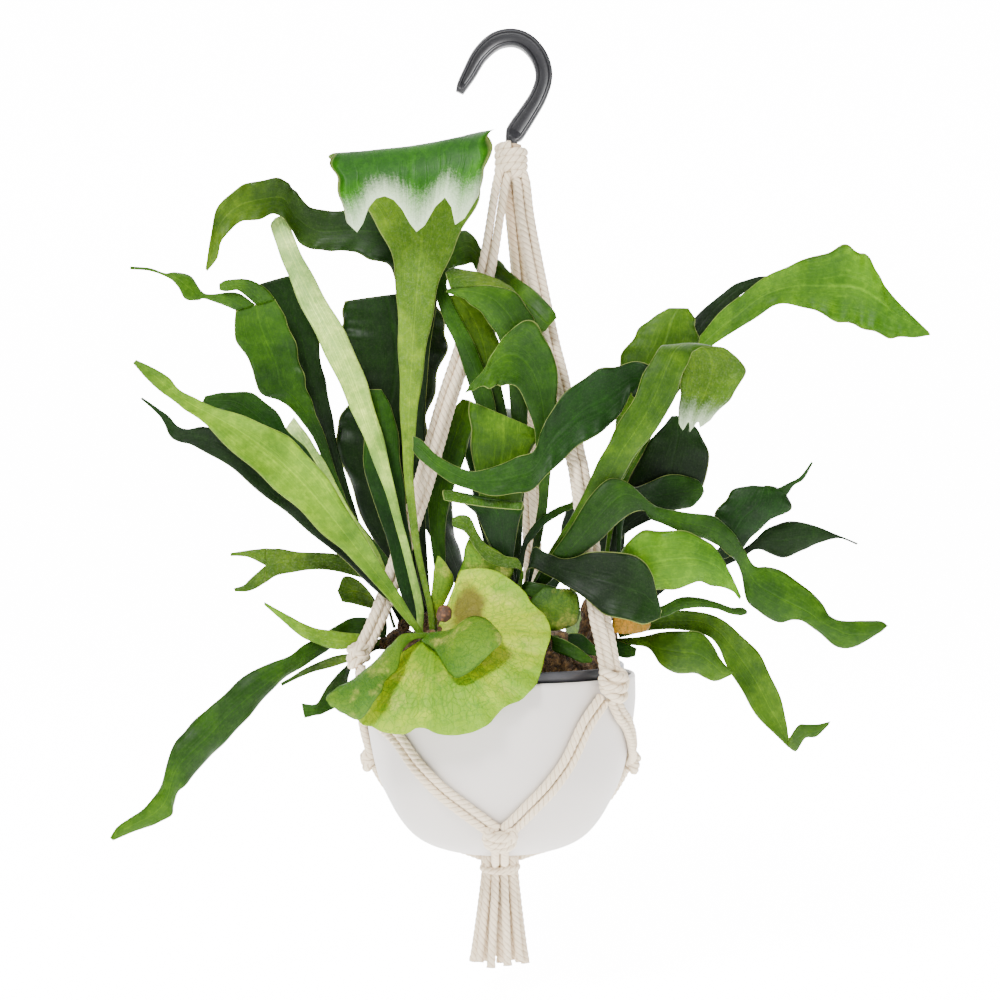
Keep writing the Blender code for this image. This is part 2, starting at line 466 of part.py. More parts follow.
def sheet_mesh(name, grids, thickness=BLADE_T):
    """One closed thin body from grids that share their joined edges."""
    bm = bmesh.new()
    for grid in grids:
        rows, cols = grid.shape[:2]
        verts = [[bm.verts.new(Vector(grid[i, j])) for j in range(cols)] for i in range(rows)]
        for i in range(rows - 1):
            for j in range(cols - 1):
                a, b, c, d = verts[i][j], verts[i][j + 1], verts[i + 1][j + 1], verts[i + 1][j]
                if (i + j) % 2:
                    bm.faces.new((a, b, c))
                    bm.faces.new((a, c, d))
                else:
                    bm.faces.new((a, b, d))
                    bm.faces.new((b, c, d))
    bmesh.ops.remove_doubles(bm, verts=bm.verts, dist=0.02)
    bm.normal_update()
    # both faces stand off the sheet by half the thickness along the vertex normals
    half = thickness / 2
    top = {v: v.co + v.normal * half for v in bm.verts}
    low = {v: v.co - v.normal * half for v in bm.verts}
    out = bmesh.new()
    up = {v: out.verts.new(top[v]) for v in bm.verts}
    down = {v: out.verts.new(low[v]) for v in bm.verts}
    for f in bm.faces:
        out.faces.new([up[v] for v in f.verts])
        out.faces.new([down[v] for v in reversed(f.verts)])
    for e in bm.edges:
        if len(e.link_faces) == 1:
            loop = next(lo for lo in e.link_faces[0].loops if lo.edge == e)
            a, b = loop.vert, loop.link_loop_next.vert
            out.faces.new((up[b], up[a], down[a]))
            out.faces.new((up[b], down[a], down[b]))
    bm.free()
    return finish_mesh(name, out)


def place(vector):
    return Vector([(vector[k] + RIM[k]) * MM for k in range(3)])


def finish_mesh(name, bm):
    """Move a body from the rim's millimetres to the object's metres and link it."""
    for v in bm.verts:
        v.co = place(v.co)
    bmesh.ops.recalc_face_normals(bm, faces=bm.faces)
    mesh = bpy.data.meshes.new(name)
    bm.to_mesh(mesh)
    bm.free()
    obj = bpy.data.objects.new(name, mesh)
    PARTS.objects.link(obj)
    return obj


def material(name, colour, rough=0.6):
    mat = bpy.data.materials.get(name)
    if mat is None:
        mat = bpy.data.materials.new(name)
        mat.use_nodes = True
        mat.diffuse_color = (*colour, 1)
        shader = mat.node_tree.nodes["Principled BSDF"]
        shader.inputs["Base Color"].default_value = (*colour, 1)
        shader.inputs["Roughness"].default_value = rough
    return mat


def dress(obj, mat, smooth=True):
    obj.data.materials.clear()
    obj.data.materials.append(mat)
    if smooth:
        obj.data.polygons.foreach_set("use_smooth", [True] * len(obj.data.polygons))
    return obj


def union(name, pieces):
    """Join overlapping bodies into one."""
    group = bpy.data.collections.new(name + "_union")
    bpy.context.scene.collection.children.link(group)
    first, rest = pieces[0], pieces[1:]
    for piece in rest:
        PARTS.objects.unlink(piece)
        group.objects.link(piece)
    mod = first.modifiers.new("Join", "BOOLEAN")
    mod.operation, mod.solver = "UNION", "EXACT"
    mod.operand_type, mod.collection = "COLLECTION", group
    graph = bpy.context.evaluated_depsgraph_get()
    mesh = bpy.data.meshes.new_from_object(first.evaluated_get(graph))
    first.modifiers.clear()
    first.data = mesh
    first.name = mesh.name = name
    for piece in rest:
        bpy.data.objects.remove(piece)
    bpy.data.collections.remove(group)
    return first


def ball(name, centre, radii, level=2):
    bm = bmesh.new()
    bmesh.ops.create_icosphere(bm, subdivisions=level, radius=1.0)
    for v in bm.verts:
        v.co = Vector([centre[k] + v.co[k] * radii[k] for k in range(3)])
    return finish_mesh(name, bm)


# ---------------------------------------------------------------------------------------------
bpy.ops.object.select_all(action="DESELECT")
for obj in list(bpy.data.objects):
    bpy.data.objects.remove(obj)
PARTS = bpy.data.collections.new("hanging_staghorn_fern")
bpy.context.scene.collection.children.link(PARTS)

LEAF = material("leaf_green", (0.07, 0.2, 0.04), 0.5)
LEAF_PALE = material("leaf_pale", (0.25, 0.38, 0.2), 0.6)
SHIELD = material("shield_lime", (0.4, 0.5, 0.08), 0.6)
RHIZOME = material("rhizome_brown", (0.12, 0.07, 0.04), 0.9)
COTTON = material("cotton_cord", (0.8, 0.75, 0.66), 0.9)
CERAMIC = material("pot_ceramic", (0.8, 0.79, 0.77), 0.5)
NURSERY = material("nursery_plastic", (0.03, 0.03, 0.035), 0.5)
SOIL = material("potting_mix", (0.04, 0.03, 0.02), 0.95)
HOOK = material("hook_plastic", (0.03, 0.03, 0.035), 0.45)

# Fronds that are one blade: rows, crown, cup, wave, material, notches, columns
FRONDS = {
    "crest_frond": (CREST, "A", 0.03, (0.4, 3), LEAF,
                    [(0, 0), (.125, .02), (.25, .05), (.375, .035), (.5, .01), (.625, -.01),
                     (.75, .02), (.875, .02), (1, 0)], 8),
    "hook_frond": (HOOK_LEAF, "G", -0.10, (0.8, 3), LEAF, None, COLS),
    "dark_band_frond": (DARK_BAND, "G", 0.08, (0.6, 2), LEAF, None, COLS),
    "spear_frond": (SPEAR, "A", -0.10, (0.5, 2), LEAF_PALE, None, COLS),
    "shadow_frond": (SHADOW_SPEAR, "G", -0.08, (0.3, 2), LEAF, None, COLS),
    "broad_back_frond": (DARK_FAN, "G", 0.06, (1.0, 2), LEAF, None, COLS),
    "strap_frond": (STRAP_ARCH, "B", 0.08, (0.5, 4), LEAF, None, COLS),
    "middle_frond": (MID_LEAF, "B", -0.10, (0.5, 2), LEAF, None, COLS),
    "olive_frond": (OLIVE_FAN, "B", 0.06, (0.8, 2), LEAF_PALE, None, COLS),
    "sash_frond": (SASH, "C", -0.10, (0.6, 3), LEAF, None, COLS),
    "folded_frond": (FOLDED_FLAP, "B", 0.06, (0.4, 2), LEAF,
                     [(0, 0), (.25, -.02), (.5, .02), (.75, -.02), (1, 0)], COLS),
    "dome_frond": (DOME, "C", 0.08, (0.5, 2), LEAF, None, COLS),
    "wing_frond": (WING, "C", -0.08, (0.8, 3), LEAF, None, COLS),
    "wing_back_frond": (WING_BACK, "C", 0.06, (0.3, 3), LEAF, None, COLS),
    "long_arch_frond": (LONG_ARCH, "B", 0.10, (0.5, 3), LEAF, None, COLS),
    "drooping_frond": (GREY_DROOP, "C", 0.08, (0.6, 2), LEAF_PALE, None, COLS),
    "dark_front_frond": (DARK_FRONT, "B", -0.10, (0.6, 2), LEAF, None, COLS),
    "curled_rim_frond": (CURLED_RIM, "B", 0.05, (0.5, 2), LEAF_PALE, None, COLS),
    "long_low_frond": (LONG_LOW, "E", -0.12, (0.8, 3), LEAF, None, COLS),
    "low_left_frond": (DARK_LOW_LEFT, "E", 0.08, (0.4, 2), LEAF, None, COLS),
    "belly_frond": (BELLY, "D", 0.12, (0.6, 2), LEAF, None, COLS),
    "back_high_frond": (BACK_HIGH, "F", 0.10, (1.0, 3), LEAF, None, COLS),
    "back_left_frond": (BACK_LEFT, "F", 0.10, (0.8, 2), LEAF, None, COLS),
    "back_right_frond": (BACK_RIGHT, "F", 0.10, (0.8, 2), LEAF, None, COLS),
    "teal_frond": (TEAL_BACK, "B", 0.06, (0.4, 2), LEAF, None, COLS),
    "dark_left_frond": (DARK_LEFT, "G", 0.06, (0.5, 2), LEAF, None, COLS),
    "big_dark_frond": (BIG_DARK, "C", 0.06, (0.6, 2), LEAF, None, COLS),
    "grey_frond": (GREY_LEAF, "C", 0.08, (0.5, 2), LEAF_PALE, None, COLS),
    "arrow_frond": (DARK_ARROW, "D", 0.08, (0.3, 2), LEAF, None, COLS),
    "front_shield": (DISC, "A", -0.04, (1.5, 3), SHIELD, None, 6),
    "lime_point_shield": (LIME_POINT, "A", 0.16, (0.2, 2), SHIELD, None, COLS),
    "lime_back_shield": (LIME_BACK, "B", 0.08, (0.5, 2), SHIELD, None, COLS),
    "olive_shield": (OLIVE_SHIELD, "B", 0.08, (0.4, 2), SHIELD, None, COLS),
}
# Fronds whose blade forks: rows of the stalk, then lobes from a range of its end columns
FORKED = {
    "fork_left_frond": (FORK_LEFT, "G", -0.08, LEAF, [(FORK_LEFT_LONG, 0, 2), (FORK_LEFT_CURL, 2, 4)]),
    "antler_frond": (ANTLER, "E", 0.06, LEAF, [(ANTLER_UP, 0, 2), (ANTLER_LOW, 2, 4)]),
    "fan_right_frond": (FAN_RIGHT, "D", 0.10, LEAF, [(FAN_TIP, 2, 4)]),
    "right_droop_frond": (RIGHT_DROOP, "D", -0.12, LEAF, [(DROOP_CURL, 0, 4)]),
}
# Small fronds that share a bud: crown, way out from it, bud radius, material, blades and their cup
BUDS = {
    "pale_frond": ("A", (-0.75, 0.35, 0.80), 3.4, LEAF_PALE, [(PALE_BLADE, 0.10), (UNDER_BLADE, 0.05)]),
    "left_plantlet": ("E", (0.15, -0.55, 0.85), 4.5, LEAF, [(SHORT_BACK, -0.10), (WHITE_STRIP, 0.05)]),
    "front_plantlet": ("B", (-0.25, -0.85, 0.10), 4.0, LEAF,
                       [(B_LEAF, 0.05), (THIN_CURVED, 0.05), (SMALL_CURL, 0.10)]),
    "low_left_plantlet": ("E", (-0.70, -0.70, 0.10), 4.0, LEAF, [(THIN_CURL, -0.08), (SMALL_GREY, 0.05), (LOW_FLAG, 0.05)]),
    "right_plantlet": ("D", (0.15, -0.80, 0.60), 4.0, LEAF,
                       [(SMALL_RIGHT, 0.10), (OLD_SHIELD, 0.05), (RIM_LEAF_3, 0.05)]),
    "rim_plantlet": ("H", (0.30, -0.75, 0.60), 4.0, LEAF, [(RIM_LEAF_1, -0.08), (RIM_LEAF_2, -0.08)]),
    "frill_shield": ("A", (-0.10, -0.70, 0.65), 4.7, SHIELD, [(FRILL_RIGHT, 0.10), (FRILL_LEFT, 0.08)]),
    "back_low_fronds": ("F", (0.0, 0.95, 0.0), 5.0, LEAF, [(BACK_LOW_LEFT, -0.1), (BACK_LOW_RIGHT, -0.1)]),
}

for name, (rows, crown, cup, wave, mat, notches, columns) in FRONDS.items():
    grid = blade_grid(foot(rows, CROWNS[crown]), cup, wave, notches, columns)
    dress(sheet_mesh(name, [grid]), mat)

for name, (rows, crown, cup, mat, lobes) in FORKED.items():
    stalk = blade_grid(foot(rows, CROWNS[crown]), cup, (0.5, 2), None, 4)
    grids = [stalk]
    for lobe, first, last in lobes:
        grids.append(blade_grid(lobe, 0.06, (0.0, 1), None, last - first, stalk[-1, first:last + 1]))
    dress(sheet_mesh(name, grids), mat)

# The bright frond and the part that folds back from its crease
stalk = blade_grid(foot(BRIGHT_CURL, CROWNS["B"]), 0.10, (0.3, 2))
crease = stalk[int(len(stalk) * 0.62):, -1]
stations = np.linspace(0, len(BRIGHT_BACK_EDGE) - 1, len(crease))
far = spline(np.array(BRIGHT_BACK_EDGE[::-1], float), stations)
far[0], far[-1] = crease[0], crease[-1]
fold = crease[1:-1, None] + (far[1:-1] - crease[1:-1])[:, None] * np.linspace(0, 1, 3)[None, :, None]
dress(sheet_mesh("bright_frond", [stalk, fold]), LEAF)

for name, (crown, way, radius, mat, blades) in BUDS.items():
    cx, cy, cz, cr = CROWNS[crown]
    way = Vector(way).normalized()
    bud = Vector((cx, cy, cz)) + way * (cr * reach(way, 2) + CROWN_GAP + radius * reach(-way, 1))
    pieces = [ball(name, bud, (radius, radius, radius), 1)]
    for k, (rows, cup) in enumerate(blades):
        start = foot(rows, (*bud, radius), radius * 0.45)
        pieces.append(sheet_mesh(f"{name}_{k}", [blade_grid(start, cup, (0.3, 2))]))
    if name == "frill_shield":
        pieces += [ball("bud_neck", *BUD_NECK), ball("brown_bud", *BROWN_BUD)]
    dress(union(name, pieces), mat)

# Rhizome: a mound over the soil with a crown where each group of fronds starts
centre, size = MOUND
pieces = [ball("rhizome", centre, size, 3)]
for key, (x, y, z, r) in CROWNS.items():
    pieces.append(ball("crown_" + key, (x, y, z), (r, r, r), 2))
    if z > 35:
        foot_of_stem = (x * 0.95, y * 0.95, z - r - 2)
        pieces.append(ball("stem_" + key, foot_of_stem, (r * 0.85, r * 0.85, r + 2), 2))
mound = union("rhizome", pieces)
# The mound's underside is cut level where it meets the soil
bm = bmesh.new()
bm.from_mesh(mound.data)
level = place(Vector((0, 0, SOIL_TOP + SOIL_GAP)))
cut = bmesh.ops.bisect_plane(bm, geom=bm.verts[:] + bm.edges[:] + bm.faces[:], dist=1e-7,
                             plane_co=level, plane_no=(0, 0, 1), clear_inner=True)
rim_edges = [e for e in bm.edges if e.is_boundary]
bmesh.ops.edgeloop_fill(bm, edges=rim_edges)
bmesh.ops.triangulate(bm, faces=[f for f in bm.faces if len(f.verts) > 4])
bm.to_mesh(mound.data)
bm.free()
dress(mound, RHIZOME)


def turned(name, profile, steps=32):
    """A turned body from a closed profile of (radius, height) points."""
    bm = bmesh.new()
    rings = []
    for r, z in profile:
        if r < 0.01:
            rings.append([bm.verts.new((0, 0, z))])
        else:
            rings.append([bm.verts.new((r * math.sin(2 * math.pi * k / steps),
                                        -r * math.cos(2 * math.pi * k / steps), z))
                          for k in range(steps)])
    pairs = list(zip(rings, rings[1:]))
    if profile[0][0] > 0.01:
        pairs.append((rings[-1], rings[0]))
    for one, two in pairs:
        if len(one) == len(two) == 1:
            continue
        for k in range(steps):
            n = (k + 1) % steps
            if len(one) == 1:
                bm.faces.new((one[0], two[k], two[n]))
            elif len(two) == 1:
                bm.faces.new((one[k], two[0], one[n]))
            else:
                bm.faces.new((one[k], two[k], two[n], one[n]))
    return finish_mesh(name, bm)


# Pot: a bowl with straight sides at the top
POT_OUT = [(85, -2), (85, -18), (82.5, -37), (77.5, -61), (70.5, -78), (61.7, -93), (51.7, -103),
           (37.8, -109), (20, -111.6)]
pot = [(0, POT_BASE)] + [(r, z) for r, z in POT_OUT[::-1]] + [(84.4, -0.6), (83.4, 0), (82.4, -0.6)]
pot += [(r - POT_WALL, z + (0 if z > -70 else 2.4)) for r, z in POT_OUT if r > 30] + [(0, POT_BASE + 3.4)]
dress(turned("pot", pot, 36), CERAMIC)

# Nursery pot: thin plastic, its lip just above the pot's rim, its base on the bowl's curve
nursery = [(0, -104.6), (38, -104.6), (42, -102.7), (75.5, -4), (NURSERY_R, 0), (NURSERY_R, NURSERY_TOP),
           (NURSERY_R - 2.6, NURSERY_TOP), (74.6, -3), (39.8, -100), (37, -101.9), (0, -101.9)]
dress(turned("nursery_pot", nursery), NURSERY)
soil = [(0, -100), (35.5, -100), (38, -98.5), (73.6, -5), (73.2, SOIL_TOP), (0, SOIL_TOP)]
dress(turned("soil", soil, 32), SOIL)


def lobes(count, size, depth):
    """Outline of a bundle of parallel cords: count lobes round a centre, or two side by side."""
    points = []
    if count == 2:
        for a in (-100, -45, 0, 45, 100):
            t = math.radians(a)
            points.append((size + size * 0.98 * math.cos(t), size * math.sin(t)))
        points += [(-x, -y) for x, y in points]
        return points
    for k in range(count * 3):
        t = 2 * math.pi * k / (count * 3)
        r = size - depth * (1 + math.cos(count * t)) / 2
        points.append((r * math.cos(t), r * math.sin(t)))
    return points


def sweep(name, path, section, outward, steps=2):
    """Carry a section along a smooth path; outward(point) is the way its second axis faces."""
    path = np.array(path, float)
    count = int((len(path) - 1) * steps) + 1
    line = spline(path, np.linspace(0, len(path) - 1, count))
    bm = bmesh.new()
    rings = []
    tangent = np.gradient(line, axis=0)
    for p, t in zip(line, tangent):
        t = Vector(t).normalized()
        out = Vector(outward(p))
        out = (out - t * out.dot(t)).normalized()
        side = t.cross(out)
        rings.append([bm.verts.new(Vector(p) + side * x + out * y) for x, y in section])
    n = len(section)
    for one, two in zip(rings, rings[1:]):
        for k in range(n):
            bm.faces.new((one[k], one[(k + 1) % n], two[(k + 1) % n], two[k]))
    bm.faces.new(rings[0][::-1])
    bm.faces.new(rings[-1])
    bmesh.ops.triangulate(bm, faces=[f for f in bm.faces if len(f.verts) > 4])
    return finish_mesh(name, bm)


def knot(name, centre, turn, size, tilt=0):
    """A lumpy knot: a squat body with raised turns, its flat side facing away from the pot."""
    bm = bmesh.new()
    bmesh.ops.create_icosphere(bm, subdivisions=2, radius=1.0)
    spin = Matrix.Rotation(math.radians(turn), 3, "Z") @ Matrix.Rotation(math.radians(tilt), 3, "X")
    for v in bm.verts:
        x, y, z = v.co
        bulge = 1 + 0.07 * math.cos(3 * math.pi * z) + 0.05 * math.cos(4 * math.atan2(y, x))
        v.co = Vector(centre) + spin @ Vector((x * bulge * size[0], y * bulge * size[1], z * size[2]))
    return finish_mesh(name, bm)


def pot_path(stations, stand=3.2, steps=2):
    """A path on the pot's wall through stations of (azimuth, height)."""
    count = (len(stations) - 1) * steps + 1
    line = spline(np.array(stations, float), np.linspace(0, len(stations) - 1, count))
    return [on_pot(a, z, stand) for a, z in line]


def on_pot(azimuth, z, stand=3.0):
    """A point off the pot's wall, from the azimuth in degrees, the wall's height and the clearance."""
    heights, radii = [p[1] for p in POT_OUT[::-1]], [p[0] for p in POT_OUT[::-1]]
    lean = (np.interp(z + 5, heights, radii) - np.interp(z - 5, heights, radii)) / 10
    r = np.interp(z, heights, radii) + stand / math.hypot(1, lean)
    a = math.radians(azimuth)
    return (r * math.sin(a), -r * math.cos(a), z - stand * lean / math.hypot(1, lean))


def from_axis(p):
    return (p[0], p[1], 0.0)


def away(p):
    """Outward from the pot's body, turning downwards under its base."""
    low = min(1.0, max(0.0, (-80 - p[2]) / 30))
    r = math.hypot(p[0], p[1]) + 1e-6
    return (p[0] / r * (1 - low) + 1e-3, p[1] / r * (1 - low), -low)


# Three legs of four cords, from the wrapping to a knot over the pot's rim
LEG = lobes(4, 5.4, 1.0)
LEFT_KNOT, RIGHT_KNOT, BACK_KNOT = (-87.5, -15.5, 11.5), (67.4, -65.8, -2), (22, 91.6, 0)
LEGS = {
    "left_leg": ([(1, -3, 308.5), (-9, -4, 250), (-23, -6, 202), (-33, -8, 171), (-42, -9, 139),
                  (-49, -10, 114), (-60, -12, 80), (-71, -13, 48), (-79, -14, 28), (-86, -15, 14)],
                 LEFT_KNOT, -80, (7.6, 7.4, 8.5)),
    "right_leg": ([(13, -3, 308.5), (16, -5, 284), (23, -8, 246), (31, -15, 206), (37, -21, 181),
                   (46, -31, 136), (49, -35, 120), (59, -48, 45), (63, -54, 24), (66, -62, 5)],
                  RIGHT_KNOT, 45, (8.6, 8.0, 10.5)),
    "back_leg": ([(7, 7, 308.2), (14, 25, 240), (19, 45, 160), (21, 61, 98), (22, 80, 34), (22, 88.5, 6)],
                 BACK_KNOT, 166, (8.6, 8.0, 9.5)),
}
for name, (path, centre, turn, size) in LEGS.items():
    strand = sweep(name, path, LEG, lambda p: (0.3, -1, 0) if abs(p[1]) < 1 else from_axis(p))
    dress(union(name, [strand, knot(name + "_knot", centre, turn, size)]), COTTON)

# Three nets of two cords a side, each to a lower knot and on under the pot
PAIR = lobes(2, 2.5, 0)
NETS = {
    "front_net": (0, -90, 28, (9.5, 5.0, 7.5),
                  [[(-76.6, 4.4), (-72, -10), (-60, -23), (-46, -33.5), (-36, -50), (-23.5, -66),
                    (-8.4, -81.5), (-2.6, -87)],
                   [(44, -11.0), (36, -24), (28, -48), (19.5, -64), (8.6, -80.2), (3.2, -87)]]),
    "right_net": (98, -57, 12, (8.0, 5.0, 7.5),
                  [[(49, -9.3), (55, -20), (62, -27), (76, -43), (93, -53), (97, -56)],
                   [(163, -6.2), (148, -17), (130, -30), (110, -46), (101, -53), (99, -56)]]),
    "left_net": (-101, -56, 12, (8.0, 5.0, 7.5),
                 [[(-83.4, 4.4), (-88, -10), (-92, -28), (-97, -46), (-99, -54)],
                  [(-190, -5.4), (-172, -20), (-145, -34), (-118, -47), (-106, -53.5), (-102.5, -55.6)]]),
}
STAND = 3.5             # the nets' centre line stands this far off the wall
KNOT_STAND = 6.2
BACKWARD = 24           # degrees that a side net's last run leans to the back
UNDER = [(38, -112.8), (24, -115.2), (12.5, -117.4)]    # radius and height under the pot
for name, (azimuth, low, tilt, size, sides) in NETS.items():
    pieces = [knot(name, on_pot(azimuth, low, KNOT_STAND), azimuth, size, tilt)]
    for k, side in enumerate(sides):
        pieces.append(sweep(f"{name}_{k}", pot_path(side, STAND), PAIR, away, 1))
    last = azimuth + (math.copysign(BACKWARD, azimuth) if azimuth else 0)
    a = math.radians(last)
    count = max(3, int((low + 104) / 8) + 1)
    levels = zip(np.linspace(azimuth, last, count), np.linspace(low - 2, -104, count))
    run = [on_pot(turn, z, STAND) for turn, z in levels]
    run += [(r * math.sin(a), -r * math.cos(a), z) for r, z in UNDER]
    pieces.append(sweep(name + "_run", run, PAIR, away, 1))
    dress(union(name, pieces), COTTON)

# Gathering knot under the pot and the tassel that hangs from it
TASSEL = [(6.5, -124), (9.5, -127), (11.5, -145), (15.5, -165), (19.5, -181), (18.0, -182.2), (0, -182.2)]
GATHER = [(0, -112.9), (8, -112.9), (11.6, -115), (12.4, -119), (11.6, -123), (8.6, -125.5)]
ring = 24
bm = bmesh.new()
rows = []
for r, z in GATHER + TASSEL[2:]:
    lobe = 0.35 if z > -126 else 0.9
    row = []
    for k in range(ring if r else 0):
        a = 2 * math.pi * k / ring
        out = r - lobe + lobe * math.cos(6 * a)
        row.append(bm.verts.new((out * math.sin(a), -out * math.cos(a), z)))
    rows.append(row)
tops = [bm.verts.new((0, 0, -112.9)), bm.verts.new((0, 0, -182.2))]
for k in range(ring):
    n = (k + 1) % ring
    bm.faces.new((tops[0], rows[1][k], rows[1][n]))
    bm.faces.new((tops[1], rows[-2][n], rows[-2][k]))
    for one, two in zip(rows[1:-1], rows[2:-1]):
        bm.faces.new((one[k], two[k], two[n], one[n]))
dress(finish_mesh("tassel", bm), COTTON)

# Wrapping: four turns round the cords, with a socket for the hook's shank
WRAP = []
for k in range(4):
    mid = 330.2 - 5.9 * k
    WRAP += [(9.4, mid + 2.9), (10.5, mid + 1.4), (10.5, mid - 1.4)]
wrap = [(5.5, 333.2), (8.6, 333.2)] + WRAP[1:] + [(9.3, 309.3), (0, 309.3), (0, 319.5), (5.5, 319.5)]
obj = turned("wrap", wrap[::-1], 24)
for v in obj.data.vertices:
    v.co.x += 7 * MM
dress(obj, COTTON)

# Hook: an I-section bar bent in one plane, its shank seated in the wrapping
HOOK_LINE = [
    (7, 320, 6.6, 6.6), (7, 326, 6.6, 6.6), (7.2, 333.4, 7.4, 7.0), (9, 338, 11.5, 8), (12, 343, 12, 8),
    (16.4, 349.5, 11.5, 8), (24, 362, 10.6, 8), (27.7, 374.5, 10.6, 8), (25, 386, 10.6, 8),
    (17.6, 395.2, 10.6, 8), (8, 398.9, 10.6, 8), (-3, 396.6, 10.6, 8), (-12.6, 388, 9.8, 8),
    (-19.5, 376, 8.6, 7.6), (-23.5, 369, 7.0, 7), (-25.5, 364.5, 5.0, 5.6),
]
line = spline(np.array(HOOK_LINE, float), np.linspace(0, len(HOOK_LINE) - 1, 31))
slope = np.gradient(line[:, :2], axis=0)
bm = bmesh.new()
rings = []
for i, (x, z, wide, thick) in enumerate(line):
    t = slope[i] / np.linalg.norm(slope[i])
    n = (-t[1], t[0])
    w, d = wide / 2, thick / 2
    web = 0.0 if i < 6 or i > 28 else min(1.0, (i - 5) / 2, (29 - i) / 1.5)
    inner, deep = w - 2.0 * (1 if w > 3 else 0.6), 2.1 * web + 0.02
    half = [(-w, -d), (-inner, -d), (-inner + 0.5, -d + deep),
            (inner - 0.5, -d + deep), (inner, -d), (w, -d)]
    outline = half + [(-a, -b) for a, b in half]
    rings.append([bm.verts.new((x + n[0] * a, b, z + n[1] * a)) for a, b in outline])
for one, two in zip(rings, rings[1:]):
    for k in range(12):
        bm.faces.new((one[k], one[(k + 1) % 12], two[(k + 1) % 12], two[k]))
caps = [bm.faces.new(rings[0][::-1]), bm.faces.new(rings[-1])]
bmesh.ops.triangulate(bm, faces=caps)
dress(finish_mesh("hook", bm), HOOK, smooth=False)
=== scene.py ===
"""Hanging staghorn fern: the looks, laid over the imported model."""

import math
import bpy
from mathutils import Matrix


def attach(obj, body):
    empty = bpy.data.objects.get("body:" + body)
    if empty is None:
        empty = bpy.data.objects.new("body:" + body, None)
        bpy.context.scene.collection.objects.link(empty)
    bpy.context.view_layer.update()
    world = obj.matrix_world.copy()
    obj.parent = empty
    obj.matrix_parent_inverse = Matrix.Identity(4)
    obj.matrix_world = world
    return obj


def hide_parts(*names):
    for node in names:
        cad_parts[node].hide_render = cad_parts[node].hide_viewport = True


bl_info = {
    "name": "Hanging staghorn fern",
    "version": (1, 0, 0),
    "blender": (4, 5, 0),
    "location": "View3D > Sidebar > Fern",
    "description": "Dresses a staghorn fern in its hanging pot, one operator for each group of pieces",
    "category": "Add Mesh",
}

import bmesh
import bpy
import numpy as np
from bpy.props import FloatProperty, FloatVectorProperty, IntProperty
from mathutils import Matrix, Vector

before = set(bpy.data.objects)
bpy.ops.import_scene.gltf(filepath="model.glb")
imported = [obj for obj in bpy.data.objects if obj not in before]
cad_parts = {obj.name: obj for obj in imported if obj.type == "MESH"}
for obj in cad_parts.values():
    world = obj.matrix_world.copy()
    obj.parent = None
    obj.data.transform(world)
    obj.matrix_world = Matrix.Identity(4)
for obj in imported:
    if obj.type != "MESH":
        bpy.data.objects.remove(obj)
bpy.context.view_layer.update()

MM = 0.001
RIM = np.array((-9.0, 0.0, -394.0))     # centre of the pot's rim from the hook's bearing, mm

# Crowns of the rootstock as (x, y, z, radius); each frond starts on one of them
CROWNS = {
    "A": (-40, -34, 15, 11),
    "B": (14, -12, 42, 13),
    "C": (62, 8, 38, 12),
    "D": (64, -8, 20, 11),
    "E": (-63, 12, 16, 12),
    "F": (2, 40, 30, 14),
    "G": (-42, 6, 26, 13),
    "H": (34, -27, 16, 10),
}

# Blades. Each row is one station across the blade, from foot to tip: the edge on one side
# (x, y, z) and the edge on the other (x, y, z), in mm from the centre of the pot's rim.
CREST = [
    (-45, -34, 44, -41, -34, 44), (-50, -34, 65, -46, -34, 65), (-55, -33, 90, -50, -33, 90),
    (-59, -32, 126, -53, -32, 126), (-61, -31, 157, -51, -31, 157), (-62, -30, 188, -47, -30, 188),
    (-63, -30, 218, -42, -30, 218), (-65, -29, 249, -35, -29, 248), (-74, -27, 275, -22, -28, 275),
    (-93, -27, 298, -10, -28, 304), (-101, -34, 314, -6, -36, 329), (-102, -50, 317, -5, -52, 331),
    (-99, -61, 303, -7, -62, 316), (-95, -64, 287, -11, -64, 296), (-90, -60, 268, -19, -60, 268),
]
HOOK_LEAF = [
    (-52, 4, 60, -45, 4, 60), (-56, 2, 95, -47, 2, 95), (-60, 0, 140, -47, 0, 140),
    (-63, 0, 184, -46, 0, 186), (-63, 0, 225, -40, 0, 232), (-67, -2, 251, -42, -2, 276),
    (-80, -2, 259, -64, -1, 292), (-98, 0, 265, -86, 1, 292), (-115, 1, 265, -114, 2, 291),
    (-129, 0, 273, -126, 2, 299), (-138, -3, 287, -133, -2, 308), (-150, -7, 284, -147, -7, 309),
    (-164, -11, 280, -163, -11, 303), (-173, -14, 269, -176, -14, 290), (-176, -15, 258, -180, -15, 272),
    (-182, -16, 250, -183, -16, 252),
]
FORK_LEFT = [
    (-75, 3, 68, -69, 3, 69), (-98, 2, 97, -92, 2, 99), (-106, 2, 117, -101, 2, 119),
    (-116, 1, 143, -110, 1, 147), (-126, 0, 159, -116, 0, 163), (-138, -1, 170, -120, 0, 174),
    (-152, -2, 176, -123, 0, 184), (-155, -3, 190, -126, 0, 196), (-163, -3, 203, -130, -1, 210),
    (-167, -3, 214, -135, -2, 223), (-166, -4, 227, -141, -4, 234),
]
FORK_LEFT_LONG = [
    (-176, -6, 231, -165, -6, 238), (-185, -7, 234, -181, -7, 237), (-189, -8, 233, -187, -6, 239),
    (-196, -11, 233, -194, -5, 248), (-201, -11, 241, -203, -7, 251), (-208, -10, 247, -210, -8, 250),
    (-219, -10, 251, -219, -9, 253), (-231, -10, 252, -231, -9, 254),
]
FORK_LEFT_CURL = [
    (-162, -8, 238, -148, -8, 242), (-166, -10, 239, -158, -12, 246), (-171, -11, 238, -170, -13, 245),
    (-175, -11, 239, -175, -12, 243),
]
